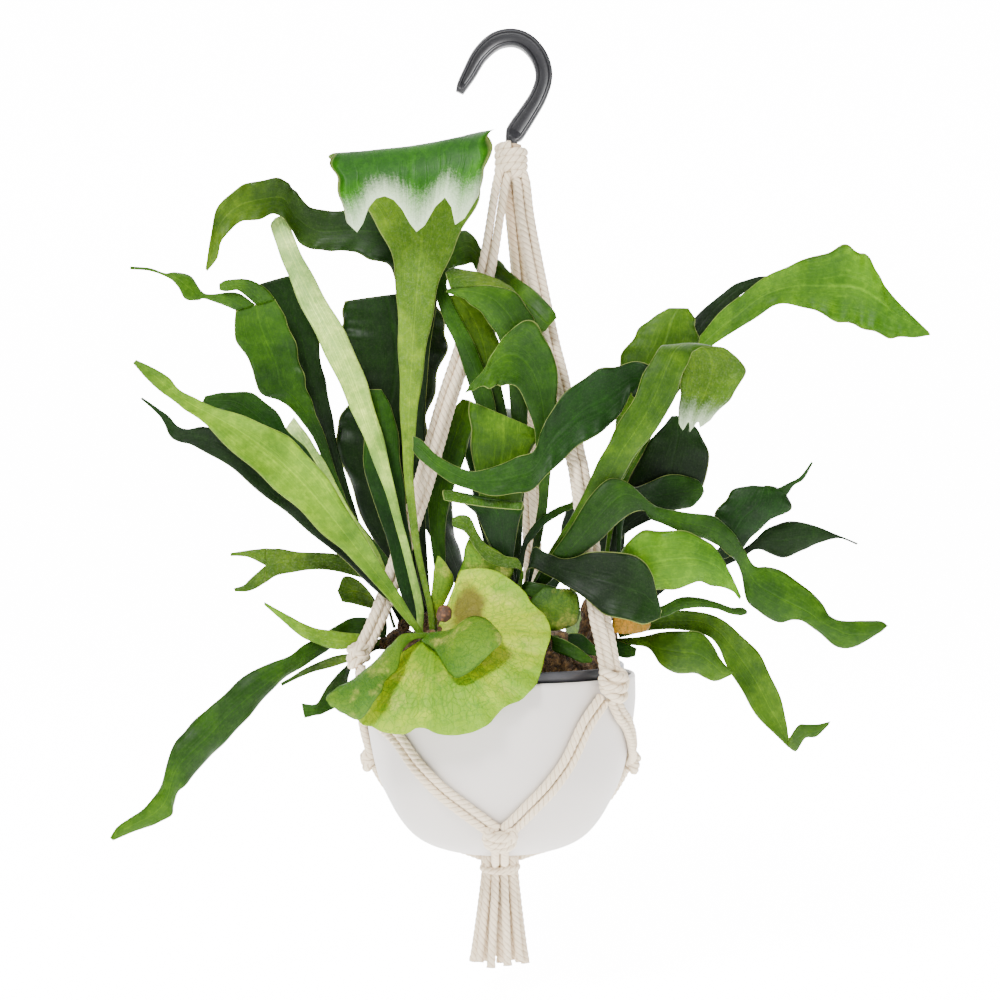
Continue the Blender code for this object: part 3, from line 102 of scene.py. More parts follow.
DARK_BAND = [
    (-82, 13, 60, -77, 13, 60), (-102, 14, 108, -94, 14, 109), (-111, 14, 140, -103, 14, 141),
    (-121, 14, 168, -108, 14, 169), (-130, 14, 191, -113, 14, 192), (-138, 14, 213, -117, 14, 215),
    (-147, 14, 234, -125, 14, 237), (-155, 14, 245, -134, 14, 251),
]
PALE_BLADE = [
    (-52, -35, 44, -47, -35, 44), (-60, -33, 77, -55, -33, 77), (-69, -30, 108, -63, -30, 108),
    (-81, -26, 139, -70, -26, 139), (-95, -21, 170, -79, -21, 170), (-110, -14, 201, -91, -14, 202),
    (-126, -5, 232, -109, -5, 234), (-137, 2, 258, -124, 2, 261), (-145, 6, 280, -135, 6, 285),
    (-143, 7, 286, -138, 7, 288),
]
UNDER_BLADE = [
    (-60, -26, 46, -53, -26, 46), (-67, -22, 71, -54, -22, 71), (-74, -20, 96, -57, -20, 96),
    (-83, -17, 120, -60, -17, 120), (-85, -14, 145, -63, -14, 145), (-84, -11, 164, -67, -11, 164),
    (-82, -9, 177, -74, -9, 177),
]
SPEAR = [
    (-60, -43, 38, -52, -43, 36), (-73, -45, 54, -62, -45, 53), (-91, -47, 73, -75, -47, 74),
    (-106, -51, 87, -89, -50, 98), (-120, -55, 101, -102, -53, 118), (-135, -58, 115, -115, -56, 135),
    (-150, -60, 128, -129, -58, 147), (-168, -61, 145, -147, -59, 156), (-181, -61, 157, -166, -60, 162),
    (-190, -61, 163, -178, -60, 167), (-199, -60, 170, -190, -60, 173), (-207, -59, 176, -198, -60, 181),
    (-213, -59, 182, -207, -60, 187), (-220, -58, 190, -218, -59, 192),
]
SHADOW_SPEAR = [
    (-74, -27, 50, -68, -27, 56), (-95, -37, 71, -86, -37, 79), (-115, -43, 88, -104, -43, 100),
    (-133, -47, 103, -121, -47, 118), (-151, -50, 118, -139, -50, 135), (-169, -51, 132, -157, -51, 147),
    (-184, -51, 140, -177, -51, 152), (-193, -51, 143, -188, -51, 151), (-199, -50, 146, -195, -50, 153),
    (-202, -50, 153, -199, -50, 158), (-206, -50, 159, -203, -50, 161), (-211, -50, 164, -210, -50, 166),
    (-217, -50, 169, -216, -50, 170),
]
SHORT_BACK = [
    (-86, -13, 74, -81, -13, 79), (-109, -16, 102, -101, -16, 108), (-130, -20, 126, -117, -20, 136),
    (-147, -24, 145, -130, -24, 150), (-160, -27, 154, -140, -27, 165), (-171, -29, 162, -154, -29, 174),
    (-180, -30, 164, -170, -30, 174), (-183, -30, 168, -181, -30, 172),
]
WHITE_STRIP = [
    (-80, -5, 72, -76, -5, 75), (-97, -6, 98, -94, -6, 102), (-113, -6, 120, -107, -6, 127),
    (-125, -7, 138, -118, -7, 145), (-134, -7, 153, -129, -7, 160),
]
DARK_FAN = [
    (-72, 24, 66, -53, 26, 66), (-88, 24, 96, -50, 26, 96), (-100, 24, 128, -49, 26, 128),
    (-106, 24, 154, -48, 26, 150), (-96, 24, 171, -45, 26, 168), (-95, 25, 190, -39, 26, 190),
    (-100, 26, 211, -34, 26, 210), (-102, 26, 224, -37, 26, 226), (-100, 26, 236, -47, 26, 243),
]
STRAP_ARCH = [
    (-2, -10, 62, 3, -10, 62), (-5, -12, 83, 2, -12, 83), (-6, -13, 120, 2, -13, 121),
    (-11, -17, 152, -1, -17, 152), (-18, -20, 176, -6, -20, 180), (-27, -21, 202, -14, -21, 200),
    (-34, -21, 218, -22, -21, 217), (-39, -19, 231, -30, -19, 232), (-41, -15, 246, -33, -15, 243),
    (-38, -9, 264, -30, -9, 251), (-30, -3, 275, -25, -3, 255), (-21, 5, 278, -18, 5, 257),
    (-11, 9, 267, -10, 9, 247), (0, 2, 258, -2, 2, 239), (12, -12, 246, 5, -12, 230),
    (25, -23, 234, 15, -23, 218), (33, -27, 225, 22, -27, 210), (35, -28, 220, 28, -28, 212),
]
TEAL_BACK = [
    (4, 0, 66, 9, 0, 66), (2, -5, 105, 10, -5, 105), (-5, -11, 145, 7, -12, 145),
    (-13, -14, 180, 1, -14, 180), (-21, -15, 205, 0, -15, 205), (-28, -15, 224, -10, -15, 226),
    (-32, -14, 235, -24, -14, 236),
]
BRIGHT_CURL = [
    (8, -13, 66, 13, -13, 66), (8, -19, 90, 14, -19, 90), (9, -23, 133, 16, -23, 133),
    (6, -27, 170, 18, -27, 170), (2, -30, 200, 21, -30, 200), (-2, -32, 208, 21, -31, 216),
    (-7, -34, 217, 17, -33, 226), (-15, -35, 225, 7, -35, 236), (-21, -36, 230, -6, -36, 239),
    (-28, -36, 233, -18, -36, 238), (-33, -35, 235, -32, -35, 237),
]
# far edge of the part of the bright frond that folds back over its crease, from tip to stalk
BRIGHT_BACK_EDGE = [
    (-34, -31, 247), (-30, -27, 251), (-22, -26, 250), (-12, -27, 248), (0, -29, 243), (8, -32, 238),
]
MID_LEAF = [
    (20, -23, 80, 25, -23, 80), (22, -24, 96, 28, -24, 96), (24, -30, 112, 30, -30, 112),
    (22, -37, 134, 32, -37, 134), (20, -39, 156, 34, -38, 158), (13, -42, 172, 35, -38, 182),
    (6, -45, 178, 31, -41, 200), (0, -47, 177, 24, -44, 213), (-4, -48, 176, 14, -46, 216),
    (-8, -49, 176, 4, -47, 209), (-13, -49, 176, -3, -47, 199), (-17, -48, 174, -9, -47, 188),
    (-21, -47, 173, -19, -46, 177),
]
OLIVE_FAN = [
    (0, -24, 60, 7, -24, 60), (-2, -24, 71, 7, -24, 71), (-9, -26, 86, 10, -26, 86),
    (-13, -29, 108, 13, -29, 108), (-16, -32, 130, 17, -32, 130), (-18, -33, 146, 22, -33, 143),
    (-19, -33, 158, 23, -33, 147), (-19, -33, 169, 23, -33, 151),
]
DARK_LEFT = [
    (-41, -5, 62, -34, -5, 62), (-45, -1, 95, -34, -1, 95), (-45, 3, 121, -27, 3, 121),
    (-40, 5, 143, -20, 5, 143), (-32, 5, 162, -16, 5, 160), (-24, 5, 172, -19, 5, 171),
]
SASH = [
    (60, -8, 66, 65, -8, 67), (66, -20, 120, 72, -20, 122), (75, -29, 145, 84, -29, 145),
    (82, -35, 166, 98, -35, 168), (81, -38, 172, 94, -38, 187), (79, -39, 172, 84, -39, 192),
    (74, -41, 162, 71, -41, 190), (65, -43, 151, 60, -43, 187), (55, -45, 146, 50, -44, 182),
    (45, -47, 138, 39, -46, 172), (35, -49, 130, 30, -47, 161), (27, -51, 121, 25, -49, 149),
    (18, -53, 114, 20, -50, 138), (6, -54, 111, 9, -52, 133), (-6, -54, 111, -3, -52, 129),
    (-21, -53, 115, -15, -52, 125), (-32, -51, 120, -27, -51, 129), (-42, -49, 127, -38, -49, 135),
    (-50, -46, 134, -47, -46, 144), (-53, -44, 138, -53, -44, 147),
]
FOLDED_FLAP = [
    (31, -29, 78, 38, -33, 78), (40, -45, 93, 52, -53, 93), (54, -50, 120, 73, -49, 120),
    (62, -52, 137, 84, -51, 138), (71, -53, 153, 97, -52, 154), (81, -53, 171, 106, -52, 172),
    (88, -52, 187, 112, -51, 187), (95, -48, 198, 117, -46, 198), (103, -39, 202, 129, -37, 202),
    (109, -30, 200, 147, -25, 196), (112, -27, 190, 151, -20, 185), (111, -27, 176, 144, -20, 172),
    (110, -27, 164, 134, -21, 162), (110, -26, 154, 128, -21, 154),
]
DOME = [
    (57, 4, 62, 62, 4, 62), (63, 0, 104, 70, 0, 104), (70, -4, 139, 88, -4, 139),
    (73, -6, 171, 103, -6, 170), (74, -8, 192, 119, -8, 192), (80, -8, 205, 124, -8, 205),
    (87, -8, 215, 123, -8, 215), (95, -8, 222, 121, -8, 223), (105, -8, 228, 118, -8, 228),
]
WING = [
    (60, 20, 58, 65, 20, 58), (69, 17, 90, 75, 17, 90), (82, 20, 133, 90, 20, 134),
    (96, 22, 166, 107, 22, 166), (112, 24, 192, 125, 24, 192), (127, 24, 212, 136, 24, 207),
    (144, 22, 231, 159, 22, 221), (163, 20, 246, 175, 20, 232), (182, 17, 257, 191, 17, 232),
    (200, 13, 263, 205, 13, 226), (217, 9, 269, 218, 9, 220), (226, 5, 266, 230, 5, 217),
    (235, 1, 258, 241, 1, 211), (242, -3, 242, 251, -3, 210), (254, -6, 228, 262, -6, 210),
    (268, -9, 213, 269, -9, 211),
]
WING_BACK = [
    (74, 21, 56, 77, 23, 54), (78, 27, 110, 84, 27, 110), (90, 32, 147, 97, 32, 147),
    (108, 34, 185, 117, 34, 185), (124, 34, 223, 133, 34, 214), (137, 34, 236, 144, 34, 230),
    (151, 33, 247, 158, 33, 242), (165, 32, 252, 171, 32, 247), (176, 31, 253, 177, 31, 251),
]
BIG_DARK = [
    (67, 11, 60, 72, 11, 60), (71, 6, 86, 79, 6, 86), (76, 5, 104, 118, 5, 105), (81, 4, 118, 129, 4, 115),
    (88, 2, 136, 131, 2, 135), (96, 1, 147, 128, 1, 148), (103, 0, 155, 121, 0, 156),
    (108, 0, 161, 115, 0, 161),
]
GREY_LEAF = [
    (72, 0, 60, 75, 0, 57), (75, -5, 108, 78, -5, 96), (88, -6, 117, 94, -6, 102),
    (100, -6, 122, 108, -6, 101), (113, -6, 124, 118, -6, 103), (123, -6, 121, 125, -6, 108),
    (127, -6, 117, 128, -6, 113),
]
LONG_ARCH = [
    (30, -40, 73, 43, -45, 70), (42, -53, 91, 58, -57, 82), (54, -58, 110, 71, -58, 94),
    (65, -58, 121, 80, -56, 101), (77, -57, 118, 87, -54, 101), (90, -55, 107, 90, -53, 97),
    (98, -52, 103, 97, -51, 94), (109, -49, 101, 110, -48, 88), (121, -46, 100, 123, -44, 85),
    (132, -42, 97, 132, -41, 80), (142, -38, 89, 139, -37, 75), (149, -34, 78, 144, -33, 71),
    (156, -30, 68, 149, -28, 60), (164, -28, 67, 152, -27, 46), (175, -28, 63, 160, -27, 38),
    (188, -29, 55, 172, -28, 33), (197, -30, 45, 180, -29, 34), (203, -31, 37, 187, -30, 33),
    (211, -32, 34, 195, -30, 27), (222, -32, 34, 206, -30, 18), (233, -32, 34, 218, -31, 18),
    (238, -32, 31, 233, -32, 27),
]
FAN_RIGHT = [
    (99, -20, 61, 104, -20, 60), (124, -20, 72, 131, -20, 69), (137, -18, 80, 149, -18, 76),
    (134, -17, 90, 157, -17, 86), (134, -16, 99, 168, -16, 95), (139, -16, 108, 180, -16, 102),
    (146, -16, 115, 179, -16, 111), (155, -16, 117, 172, -16, 116),
]
FAN_TIP = [
    (171, -16, 115, 178, -16, 111), (180, -15, 119, 183, -15, 117), (187, -14, 123, 189, -14, 121),
    (194, -13, 132, 195, -13, 131),
]
DARK_ARROW = [
    (106, -10, 60, 109, -10, 56), (125, -9, 65, 128, -9, 61), (147, -8, 75, 150, -8, 71),
    (158, -8, 82, 160, -8, 77), (168, -8, 91, 170, -8, 74), (178, -8, 94, 180, -8, 72),
    (191, -8, 94, 190, -8, 77), (202, -8, 90, 200, -8, 81), (212, -8, 86, 212, -8, 84),
    (224, -8, 81, 223, -8, 80),
]
GREY_DROOP = [
    (69, -40, 66, 73, -39, 58), (75, -55, 81, 86, -52, 53), (86, -60, 89, 96, -55, 53),
    (97, -61, 90, 108, -56, 56), (111, -61, 89, 119, -56, 58), (122, -60, 85, 127, -56, 57),
    (130, -58, 78, 134, -55, 55), (138, -56, 65, 140, -54, 53), (145, -54, 50, 144, -54, 48),
]
DARK_FRONT = [
    (20, -38, 78, 17, -38, 66), (28, -44, 76, 27, -44, 63), (39, -52, 73, 38, -53, 58),
    (54, -60, 76, 50, -62, 49), (67, -65, 78, 60, -68, 42), (78, -68, 75, 71, -71, 37),
    (88, -70, 69, 83, -72, 35), (92, -70, 57, 91, -71, 36), (96, -69, 42, 95, -69, 38),
]
B_LEAF = [
    (14, -31, 57, 14, -31, 49), (24, -34, 57, 22, -35, 48), (34, -35, 55, 31, -35, 49),
]
THIN_CURVED = [
    (13, -26, 78, 16, -26, 77), (17, -28, 88, 21, -28, 85), (25, -29, 97, 28, -29, 93),
    (34, -28, 103, 37, -28, 99), (46, -26, 107, 48, -26, 104),
]
CURLED_RIM = [
    (1, -31, 60, 7, -31, 60), (-2, -32, 72, 8, -32, 72), (-9, -37, 88, 11, -36, 88),
    (-15, -41, 99, 13, -41, 99), (-22, -44, 105, 14, -43, 104), (-30, -46, 115, 14, -45, 107),
    (-35, -50, 113, 14, -48, 106), (-34, -52, 108, 13, -50, 102),
]
SMALL_CURL = [
    (13, -37, 65, 14, -38, 60), (11, -40, 72, 12, -41, 66), (3, -43, 74, 2, -43, 67),
    (-6, -46, 79, -8, -47, 71), (-13, -47, 88, -15, -48, 79), (-18, -47, 97, -21, -48, 88),
    (-24, -47, 99, -27, -47, 91), (-29, -46, 97, -29, -46, 93),
]
ANTLER = [
    (-79, 6, 61, -75, 6, 51), (-98, 2, 73, -98, 2, 62), (-119, -4, 75, -119, -4, 64),
    (-135, -8, 77, -138, -8, 61), (-146, -10, 78, -147, -10, 56),
]
ANTLER_UP = [
    (-156, -11, 77, -156, -11, 72), (-162, -12, 76, -162, -12, 73), (-168, -12, 75, -168, -12, 73),
]
ANTLER_LOW = [
    (-156, -11, 59, -152, -11, 53), (-160, -12, 55, -158, -12, 51), (-166, -13, 53, -165, -13, 51),
]
THIN_CURL = [
    (-85, -7, 24, -87, -7, 16), (-101, -12, 26, -104, -12, 15), (-113, -15, 28, -118, -15, 20),
    (-123, -17, 32, -127, -17, 26), (-132, -19, 37, -135, -19, 33), (-146, -20, 45, -146, -20, 43),
]
LONG_LOW = [
    (-80, 11, 32, -83, 11, 21), (-95, 8, 33, -100, 8, 20), (-107, -2, 26, -111, -2, 12),
    (-122, -12, 18, -128, -12, 1), (-136, -20, 10, -141, -20, -10), (-154, -26, 1, -154, -26, -25),
    (-169, -31, -10, -166, -31, -37), (-180, -35, -21, -177, -35, -50), (-190, -38, -30, -188, -38, -61),
    (-198, -40, -40, -195, -40, -69), (-203, -41, -53, -198, -41, -77), (-207, -42, -67, -200, -42, -84),
    (-215, -42, -78, -209, -42, -89), (-225, -42, -85, -218, -42, -92), (-233, -42, -91, -228, -42, -96),
    (-237, -42, -97, -235, -42, -99),
]
SMALL_GREY = [
    (-88, -8, 13, -88, -8, 9), (-105, -5, 10, -103, -5, 4), (-121, -3, 3, -117, -3, 0),
    (-131, -2, -3, -129, -2, -5), (-138, -2, -7, -137, -2, -9),
]
LOW_FLAG = [
    (-78, 10, 38, -72, 10, 30), (-88, 15, 55, -79, 15, 38), (-99, 17, 59, -92, 17, 41),
    (-104, 17, 50, -101, 17, 43),
]
DARK_LOW_LEFT = [
    (-82, 9, 17, -82, 9, 12), (-90, 6, 11, -93, 6, 2), (-97, -2, 3, -99, -4, -18),
    (-107, -12, -7, -110, -13, -25), (-114, -17, -18, -116, -18, -26), (-123, -19, -18, -121, -20, -27),
]
SMALL_RIGHT = [
    (87, -20, 39, 88, -20, 34), (100, -26, 43, 101, -26, 36), (111, -28, 48, 111, -28, 40),
    (123, -28, 48, 123, -28, 42), (134, -28, 45, 133, -28, 41), (142, -28, 42, 141, -28, 38),
    (149, -28, 42, 148, -28, 37), (152, -28, 40, 152, -28, 38),
]
RIGHT_DROOP = [
    (93, -14, 35, 95, -14, 27), (108, -19, 39, 114, -19, 27), (124, -22, 39, 127, -22, 25),
    (137, -23, 34, 134, -23, 18), (149, -24, 25, 140, -24, 6), (159, -25, 14, 147, -25, -7),
    (166, -26, 2, 154, -26, -18), (172, -27, -12, 161, -27, -29), (176, -27, -26, 170, -27, -37),
    (178, -26, -39, 177, -26, -44),
]
DROOP_CURL = [
    (184, -22, -31, 183, -22, -47), (190, -20, -31, 189, -20, -40), (197, -19, -31, 196, -19, -39),
    (205, -19, -29, 203, -19, -32),
]
BELLY = [
    (88, -26, 24, 91, -26, 17), (98, -35, 27, 98, -35, 8), (110, -40, 29, 107, -39, 3),
    (122, -41, 27, 118, -41, 2), (131, -40, 18, 126, -41, -1), (137, -39, 8, 133, -39, -2),
    (142, -38, 3, 140, -38, 1),
]
RIM_LEAF_1 = [
    (31, -44, 26, 32, -45, 17), (40, -48, 23, 41, -49, 13), (50, -51, 17, 49, -52, 10),
    (56, -51, 12, 55, -51, 10),
]
RIM_LEAF_2 = [
    (44, -38, 27, 44, -38, 19), (50, -38, 26, 50, -38, 15), (57, -37, 20, 56, -38, 13),
    (62, -36, 16, 61, -36, 13),
]
RIM_LEAF_3 = [
    (69, -24, 23, 69, -25, 14), (78, -28, 20, 77, -28, 11), (84, -30, 17, 83, -30, 12),
]
BACK_HIGH = [
    (-7, 60, 60, 3, 60, 60), (-16, 84, 100, 8, 84, 100), (-24, 104, 140, 18, 104, 138),
    (-28, 128, 165, 24, 128, 162), (-26, 152, 168, 22, 152, 166), (-18, 172, 152, 16, 172, 152),
    (-8, 184, 134, 6, 184, 134),
]
BACK_LEFT = [
    (-26, 56, 48, -18, 60, 48), (-44, 80, 78, -28, 88, 78), (-58, 100, 104, -34, 112, 106),
    (-62, 122, 114, -36, 134, 116), (-56, 144, 104, -38, 150, 106), (-50, 158, 86, -44, 160, 86),
]
BACK_RIGHT = [
    (24, 58, 44, 32, 54, 44), (38, 84, 76, 54, 78, 76), (48, 108, 106, 74, 98, 106),
    (58, 130, 120, 84, 118, 120), (66, 148, 110, 84, 138, 110), (74, 158, 92, 80, 154, 92),
]
BACK_LOW_LEFT = [
    (-26, 72, 26, -18, 76, 28), (-46, 98, 26, -28, 108, 30), (-58, 124, 8, -38, 134, 14),
    (-60, 144, -20, -44, 150, -14), (-54, 154, -46, -48, 157, -44),
]
BACK_LOW_RIGHT = [
    (34, 70, 31, 40, 64, 30), (42, 104, 36, 58, 92, 32), (46, 134, 22, 62, 124, 16),
    (48, 154, -4, 62, 146, -10), (54, 162, -28, 58, 160, -30),
]
# Shield fronds
FRILL_RIGHT = [
    (-37.3, -54, 28, -46.6, -62, 23.2), (-31.2, -58, 29.5, -38.9, -76, 18.9),
    (-26.3, -63, 32.2, -31.5, -87, 9.8), (-21.4, -68, 36.7, -25.6, -93, 5.5),
    (-14.2, -74, 38.9, -17.4, -95, 8), (-7.1, -79, 37.4, -9.3, -93, 15), (-1.8, -82, 32.9, -3.5, -90, 20.5),
    (1.2, -84, 27.7, -0.6, -87, 22.6),
]
FRILL_LEFT = [
    (-43.3, -54, 28, -43.3, -57, 25), (-52.6, -62, 28.5, -52.3, -68, 24.2),
    (-59.4, -68, 27.2, -57.7, -78, 19), (-65, -73, 22, -60.2, -87, 9.7),
    (-70.6, -79, 16.8, -66.3, -94, 2.8), (-78.5, -85, 10, -68.3, -98, -2.6),
    (-87.6, -89, 2.9, -72.8, -100, -8.2), (-94.4, -91, -1.6, -81, -99, -19.3),
    (-100, -92, -5, -91.6, -97, -14.9), (-101.2, -93, -7.8, -98.1, -95, -11.6),
]
LIME_POINT = [
    (-44, -29, 36, -38, -29, 36), (-43, -30, 47, -33, -31, 47), (-41, -33, 59, -28, -34, 59),
    (-40, -37, 67, -32, -37, 68), (-38, -39, 74, -37, -39, 74),
]
LIME_BACK = [
    (-20, -34, 52, 2, -32, 50), (-25, -38, 60, 7, -38, 60), (-24, -38, 68, 8, -38, 66),
    (-22, -38, 77, 0, -38, 76), (-19, -37, 85, -14, -37, 84),
]
OLIVE_SHIELD = [
    (24, -37, 30, 42, -35, 30), (19, -43, 40, 49, -41, 40), (19, -45, 48, 48, -42, 49),
    (26, -45, 55, 44, -42, 54),
]
OLD_SHIELD = [
    (69, -28, 27, 88, -26, 27), (68, -32, 32, 92, -30, 32), (69, -34, 37, 89, -32, 38),
]
# Border of the front shield as (x, y, z), from over the heart round the right to the far left
SHIELD_HEART = (-38, -50, 30)
SHIELD_BORDER = [
    (-24, -42, 65), (-14.6, -44, 66.6), (-4, -45, 65.5), (4.9, -46, 60.8), (14.5, -49, 53), (19, -52, 46),
    (25.5, -55, 40.6), (30, -61, 31.4), (29.8, -67, 25), (27, -72, 18), (25, -78, 10), (21, -86, 0),
    (16, -90, -5), (11.7, -92, -8.6), (3, -94, -12), (-3, -95, -18), (-7, -96, -22), (-16.2, -97, -26.6),
    (-27.8, -97, -28.3), (-36, -96, -27.5), (-42, -95, -24.6), (-48.8, -95, -24.5), (-55.8, -94, -28),
    (-67.5, -93, -27), (-74, -91, -24), (-80, -90, -23), (-86, -88, -18), (-94, -86, -16), (-98, -85, -12),
    (-101, -84, -8),
]
# Fronds: blade, crown, cup, edge wave and finish; then, where they differ from 1 and none, which
# face is the upper one and the share of the length where white down starts
FRONDS = {
    "crest_frond": (CREST, "A", 0.03, 0.06, "crest", -1, 0.905),
    "hook_frond": (HOOK_LEAF, "G", -0.10, 0.8, "hooked"),
    "dark_band_frond": (DARK_BAND, "G", 0.08, 0.6, "deep"),
    "spear_frond": (SPEAR, "A", -0.10, 0.5, "grey"),
    "shadow_frond": (SHADOW_SPEAR, "G", -0.08, 0.3, "deep"),
    "broad_back_frond": (DARK_FAN, "G", 0.06, 1.0, "deep"),
    "strap_frond": (STRAP_ARCH, "B", 0.08, 0.5, "green"),
    "middle_frond": (MID_LEAF, "B", -0.10, 0.5, "green"),
    "olive_frond": (OLIVE_FAN, "B", 0.06, 0.8, "olive"),
    "sash_frond": (SASH, "C", -0.10, 0.6, "dark"),
    "folded_frond": (FOLDED_FLAP, "B", 0.06, 0.4, "olive", 1, 0.84),
    "dome_frond": (DOME, "C", 0.08, 0.5, "olive"),
    "wing_frond": (WING, "C", -0.08, 0.8, "bright"),
    "wing_back_frond": (WING_BACK, "C", 0.06, 0.3, "deep"),
    "long_arch_frond": (LONG_ARCH, "B", 0.10, 0.5, "green"),
    "drooping_frond": (GREY_DROOP, "C", 0.08, 0.6, "bright"),
    "dark_front_frond": (DARK_FRONT, "B", -0.10, 0.6, "deep"),
    "curled_rim_frond": (CURLED_RIM, "B", 0.05, 0.5, "dark"),
    "long_low_frond": (LONG_LOW, "E", -0.12, 0.8, "green", -1),
    "low_left_frond": (DARK_LOW_LEFT, "E", 0.08, 0.4, "dark", -1),
    "belly_frond": (BELLY, "D", 0.12, 0.6, "olive"),
    "back_high_frond": (BACK_HIGH, "F", 0.10, 1.0, "dark"),
    "back_left_frond": (BACK_LEFT, "F", 0.10, 0.8, "dark"),
    "back_right_frond": (BACK_RIGHT, "F", 0.10, 0.8, "dark"),
    "teal_frond": (TEAL_BACK, "B", 0.06, 0.4, "hooked"),
    "dark_left_frond": (DARK_LEFT, "G", 0.06, 0.5, "green"),
    "big_dark_frond": (BIG_DARK, "C", 0.06, 0.6, "deep"),
    "grey_frond": (GREY_LEAF, "C", 0.08, 0.5, "dark"),
    "arrow_frond": (DARK_ARROW, "D", 0.08, 0.3, "deep"),
}
SHIELD_FRONDS = {
    "lime_point_shield": (LIME_POINT, "A", 0.16, 0.2, "young"),
    "lime_back_shield": (LIME_BACK, "B", 0.08, 0.5, "frill"),
    "olive_shield": (OLIVE_SHIELD, "B", 0.08, 0.4, "dull"),
}
# How far the tip's columns stop short, as (share of the width, share of the length)
NOTCHES = {
    "crest_frond": [(0, .02), (.05, 0), (.12, .015), (.20, .05), (.29, .065), (.40, .05), (.50, .015),
                    (.58, 0), (.65, .02), (.72, .05), (.79, .045), (.86, .015), (.91, .01), (.96, .03),
                    (1, .05)],
    "folded_frond": [(0, .01), (.2, -.02), (.35, .02), (.5, -.03), (.65, .02), (.82, -.01), (1, .03)],
}
# Fronds that fork: blade, crown, cup, finish, and each lobe with the shares of the width it takes
FORKED = {
    "fork_left_frond": (FORK_LEFT, "G", -0.08, "green", [(FORK_LEFT_LONG, 0, .5), (FORK_LEFT_CURL, .5, 1)]),
    "antler_frond": (ANTLER, "E", 0.06, "olive", [(ANTLER_UP, 0, .5), (ANTLER_LOW, .5, 1)]),
    "fan_right_frond": (FAN_RIGHT, "D", 0.10, "dark", [(FAN_TIP, .5, 1)]),
    "right_droop_frond": (RIGHT_DROOP, "D", -0.12, "olive", [(DROOP_CURL, 0, 1)]),
}
# Small fronds that share a bud: crown, way out of it, bud radius, blades with cup and finish
BUDS = {
    "pale_frond": ("A", (-0.75, 0.35, 0.80), 3.4, [(PALE_BLADE, 0.10, "white"), (UNDER_BLADE, 0.05, "dark")]),
    "left_plantlet": ("E", (0.15, -0.55, 0.85), 4.5,
                      [(SHORT_BACK, -0.10, "dark"), (WHITE_STRIP, 0.05, "white")]),
    "front_plantlet": ("B", (-0.25, -0.85, 0.10), 4.0,
                       [(B_LEAF, 0.05, "green"), (THIN_CURVED, 0.05, "dark"), (SMALL_CURL, 0.10, "olive")]),
    "low_left_plantlet": ("E", (-0.70, -0.70, 0.10), 4.0,
                          [(THIN_CURL, -0.08, "bright"), (SMALL_GREY, 0.05, "dark"),
                           (LOW_FLAG, 0.05, "green")]),
    "right_plantlet": ("D", (0.15, -0.80, 0.60), 4.0,
                       [(SMALL_RIGHT, 0.10, "green"), (OLD_SHIELD, 0.05, "old"), (RIM_LEAF_3, 0.05, "dark")]),
    "rim_plantlet": ("H", (0.30, -0.75, 0.60), 4.0,
                     [(RIM_LEAF_1, -0.08, "green"), (RIM_LEAF_2, -0.08, "dark")]),
    "frill_shield": ("A", (-0.10, -0.70, 0.65), 4.7,
                     [(FRILL_RIGHT, 0.16, "frill"), (FRILL_LEFT, -0.12, "frill")]),
    "back_low_fronds": ("F", (0.0, 0.95, 0.0), 5.0,
                        [(BACK_LOW_LEFT, -0.1, "dark"), (BACK_LOW_RIGHT, -0.1, "green")]),
}

# The pot's outer wall from the rim down, as (radius, height)
POT_OUT = [(85, -2), (85, -18), (82.5, -37), (77.5, -61), (70.5, -78), (61.7, -93), (51.7, -103),
           (37.8, -109), (20, -111.6)]
POT_WALL, POT_BASE = 3.2, -112

# Legs of four cords: stations from the wrapping to the knot at the rim
LEFT_KNOT, RIGHT_KNOT, BACK_KNOT = (-87.5, -15.5, 11.5), (67.4, -65.8, -2), (22, 91.6, 0)
LEGS = {
    "left_leg": ([(1, -3, 308.5), (-9, -4, 250), (-23, -6, 202), (-33, -8, 171), (-42, -9, 139),
                  (-49, -10, 114), (-60, -12, 80), (-71, -13, 48), (-79, -14, 28), (-86, -15, 14)],
                 LEFT_KNOT, -80, (7.6, 7.4, 8.5)),
    "right_leg": ([(13, -3, 308.5), (16, -5, 284), (23, -8, 246), (31, -15, 206), (37, -21, 181),
                   (46, -31, 136), (49, -35, 120), (59, -48, 45), (63, -54, 24), (66, -62, 5)],
                  RIGHT_KNOT, 45, (8.6, 8.0, 10.5)),
    "back_leg": ([(7, 7, 308.2), (14, 25, 240), (19, 45, 160), (21, 61, 98), (22, 80, 34), (22, 88.5, 6)],
                 BACK_KNOT, 166, (8.6, 8.0, 9.5)),
}
# Nets: azimuth, height and tilt of the lower knot, its size, and both pairs' (azimuth, height)
NETS = {
    "front_net": (0, -90, 28, (9.5, 5.0, 7.5),
                  [[(-76.6, 4.4), (-72, -10), (-60, -23), (-46, -33.5), (-36, -50), (-23.5, -66),
                    (-8.4, -81.5), (-2.6, -87)],
                   [(44, -11.0), (36, -24), (28, -48), (19.5, -64), (8.6, -80.2), (3.2, -87)]]),
    "right_net": (98, -57, 12, (8.0, 5.0, 7.5),
                  [[(49, -9.3), (55, -20), (62, -27), (76, -43), (93, -53), (97, -56)],
                   [(163, -6.2), (148, -17), (130, -30), (110, -46), (101, -53), (99, -56)]]),
    "left_net": (-101, -56, 12, (8.0, 5.0, 7.5),
                 [[(-83.4, 4.4), (-88, -10), (-92, -28), (-97, -46), (-99, -54)],
                  [(-190, -5.4), (-172, -20), (-145, -34), (-118, -47), (-106, -53.5), (-102.5, -55.6)]]),
}
RIPPLE = 44.0           # length of one ripple along a blade's edge
BACKWARD = 24           # degrees that a side net's last run leans to the back
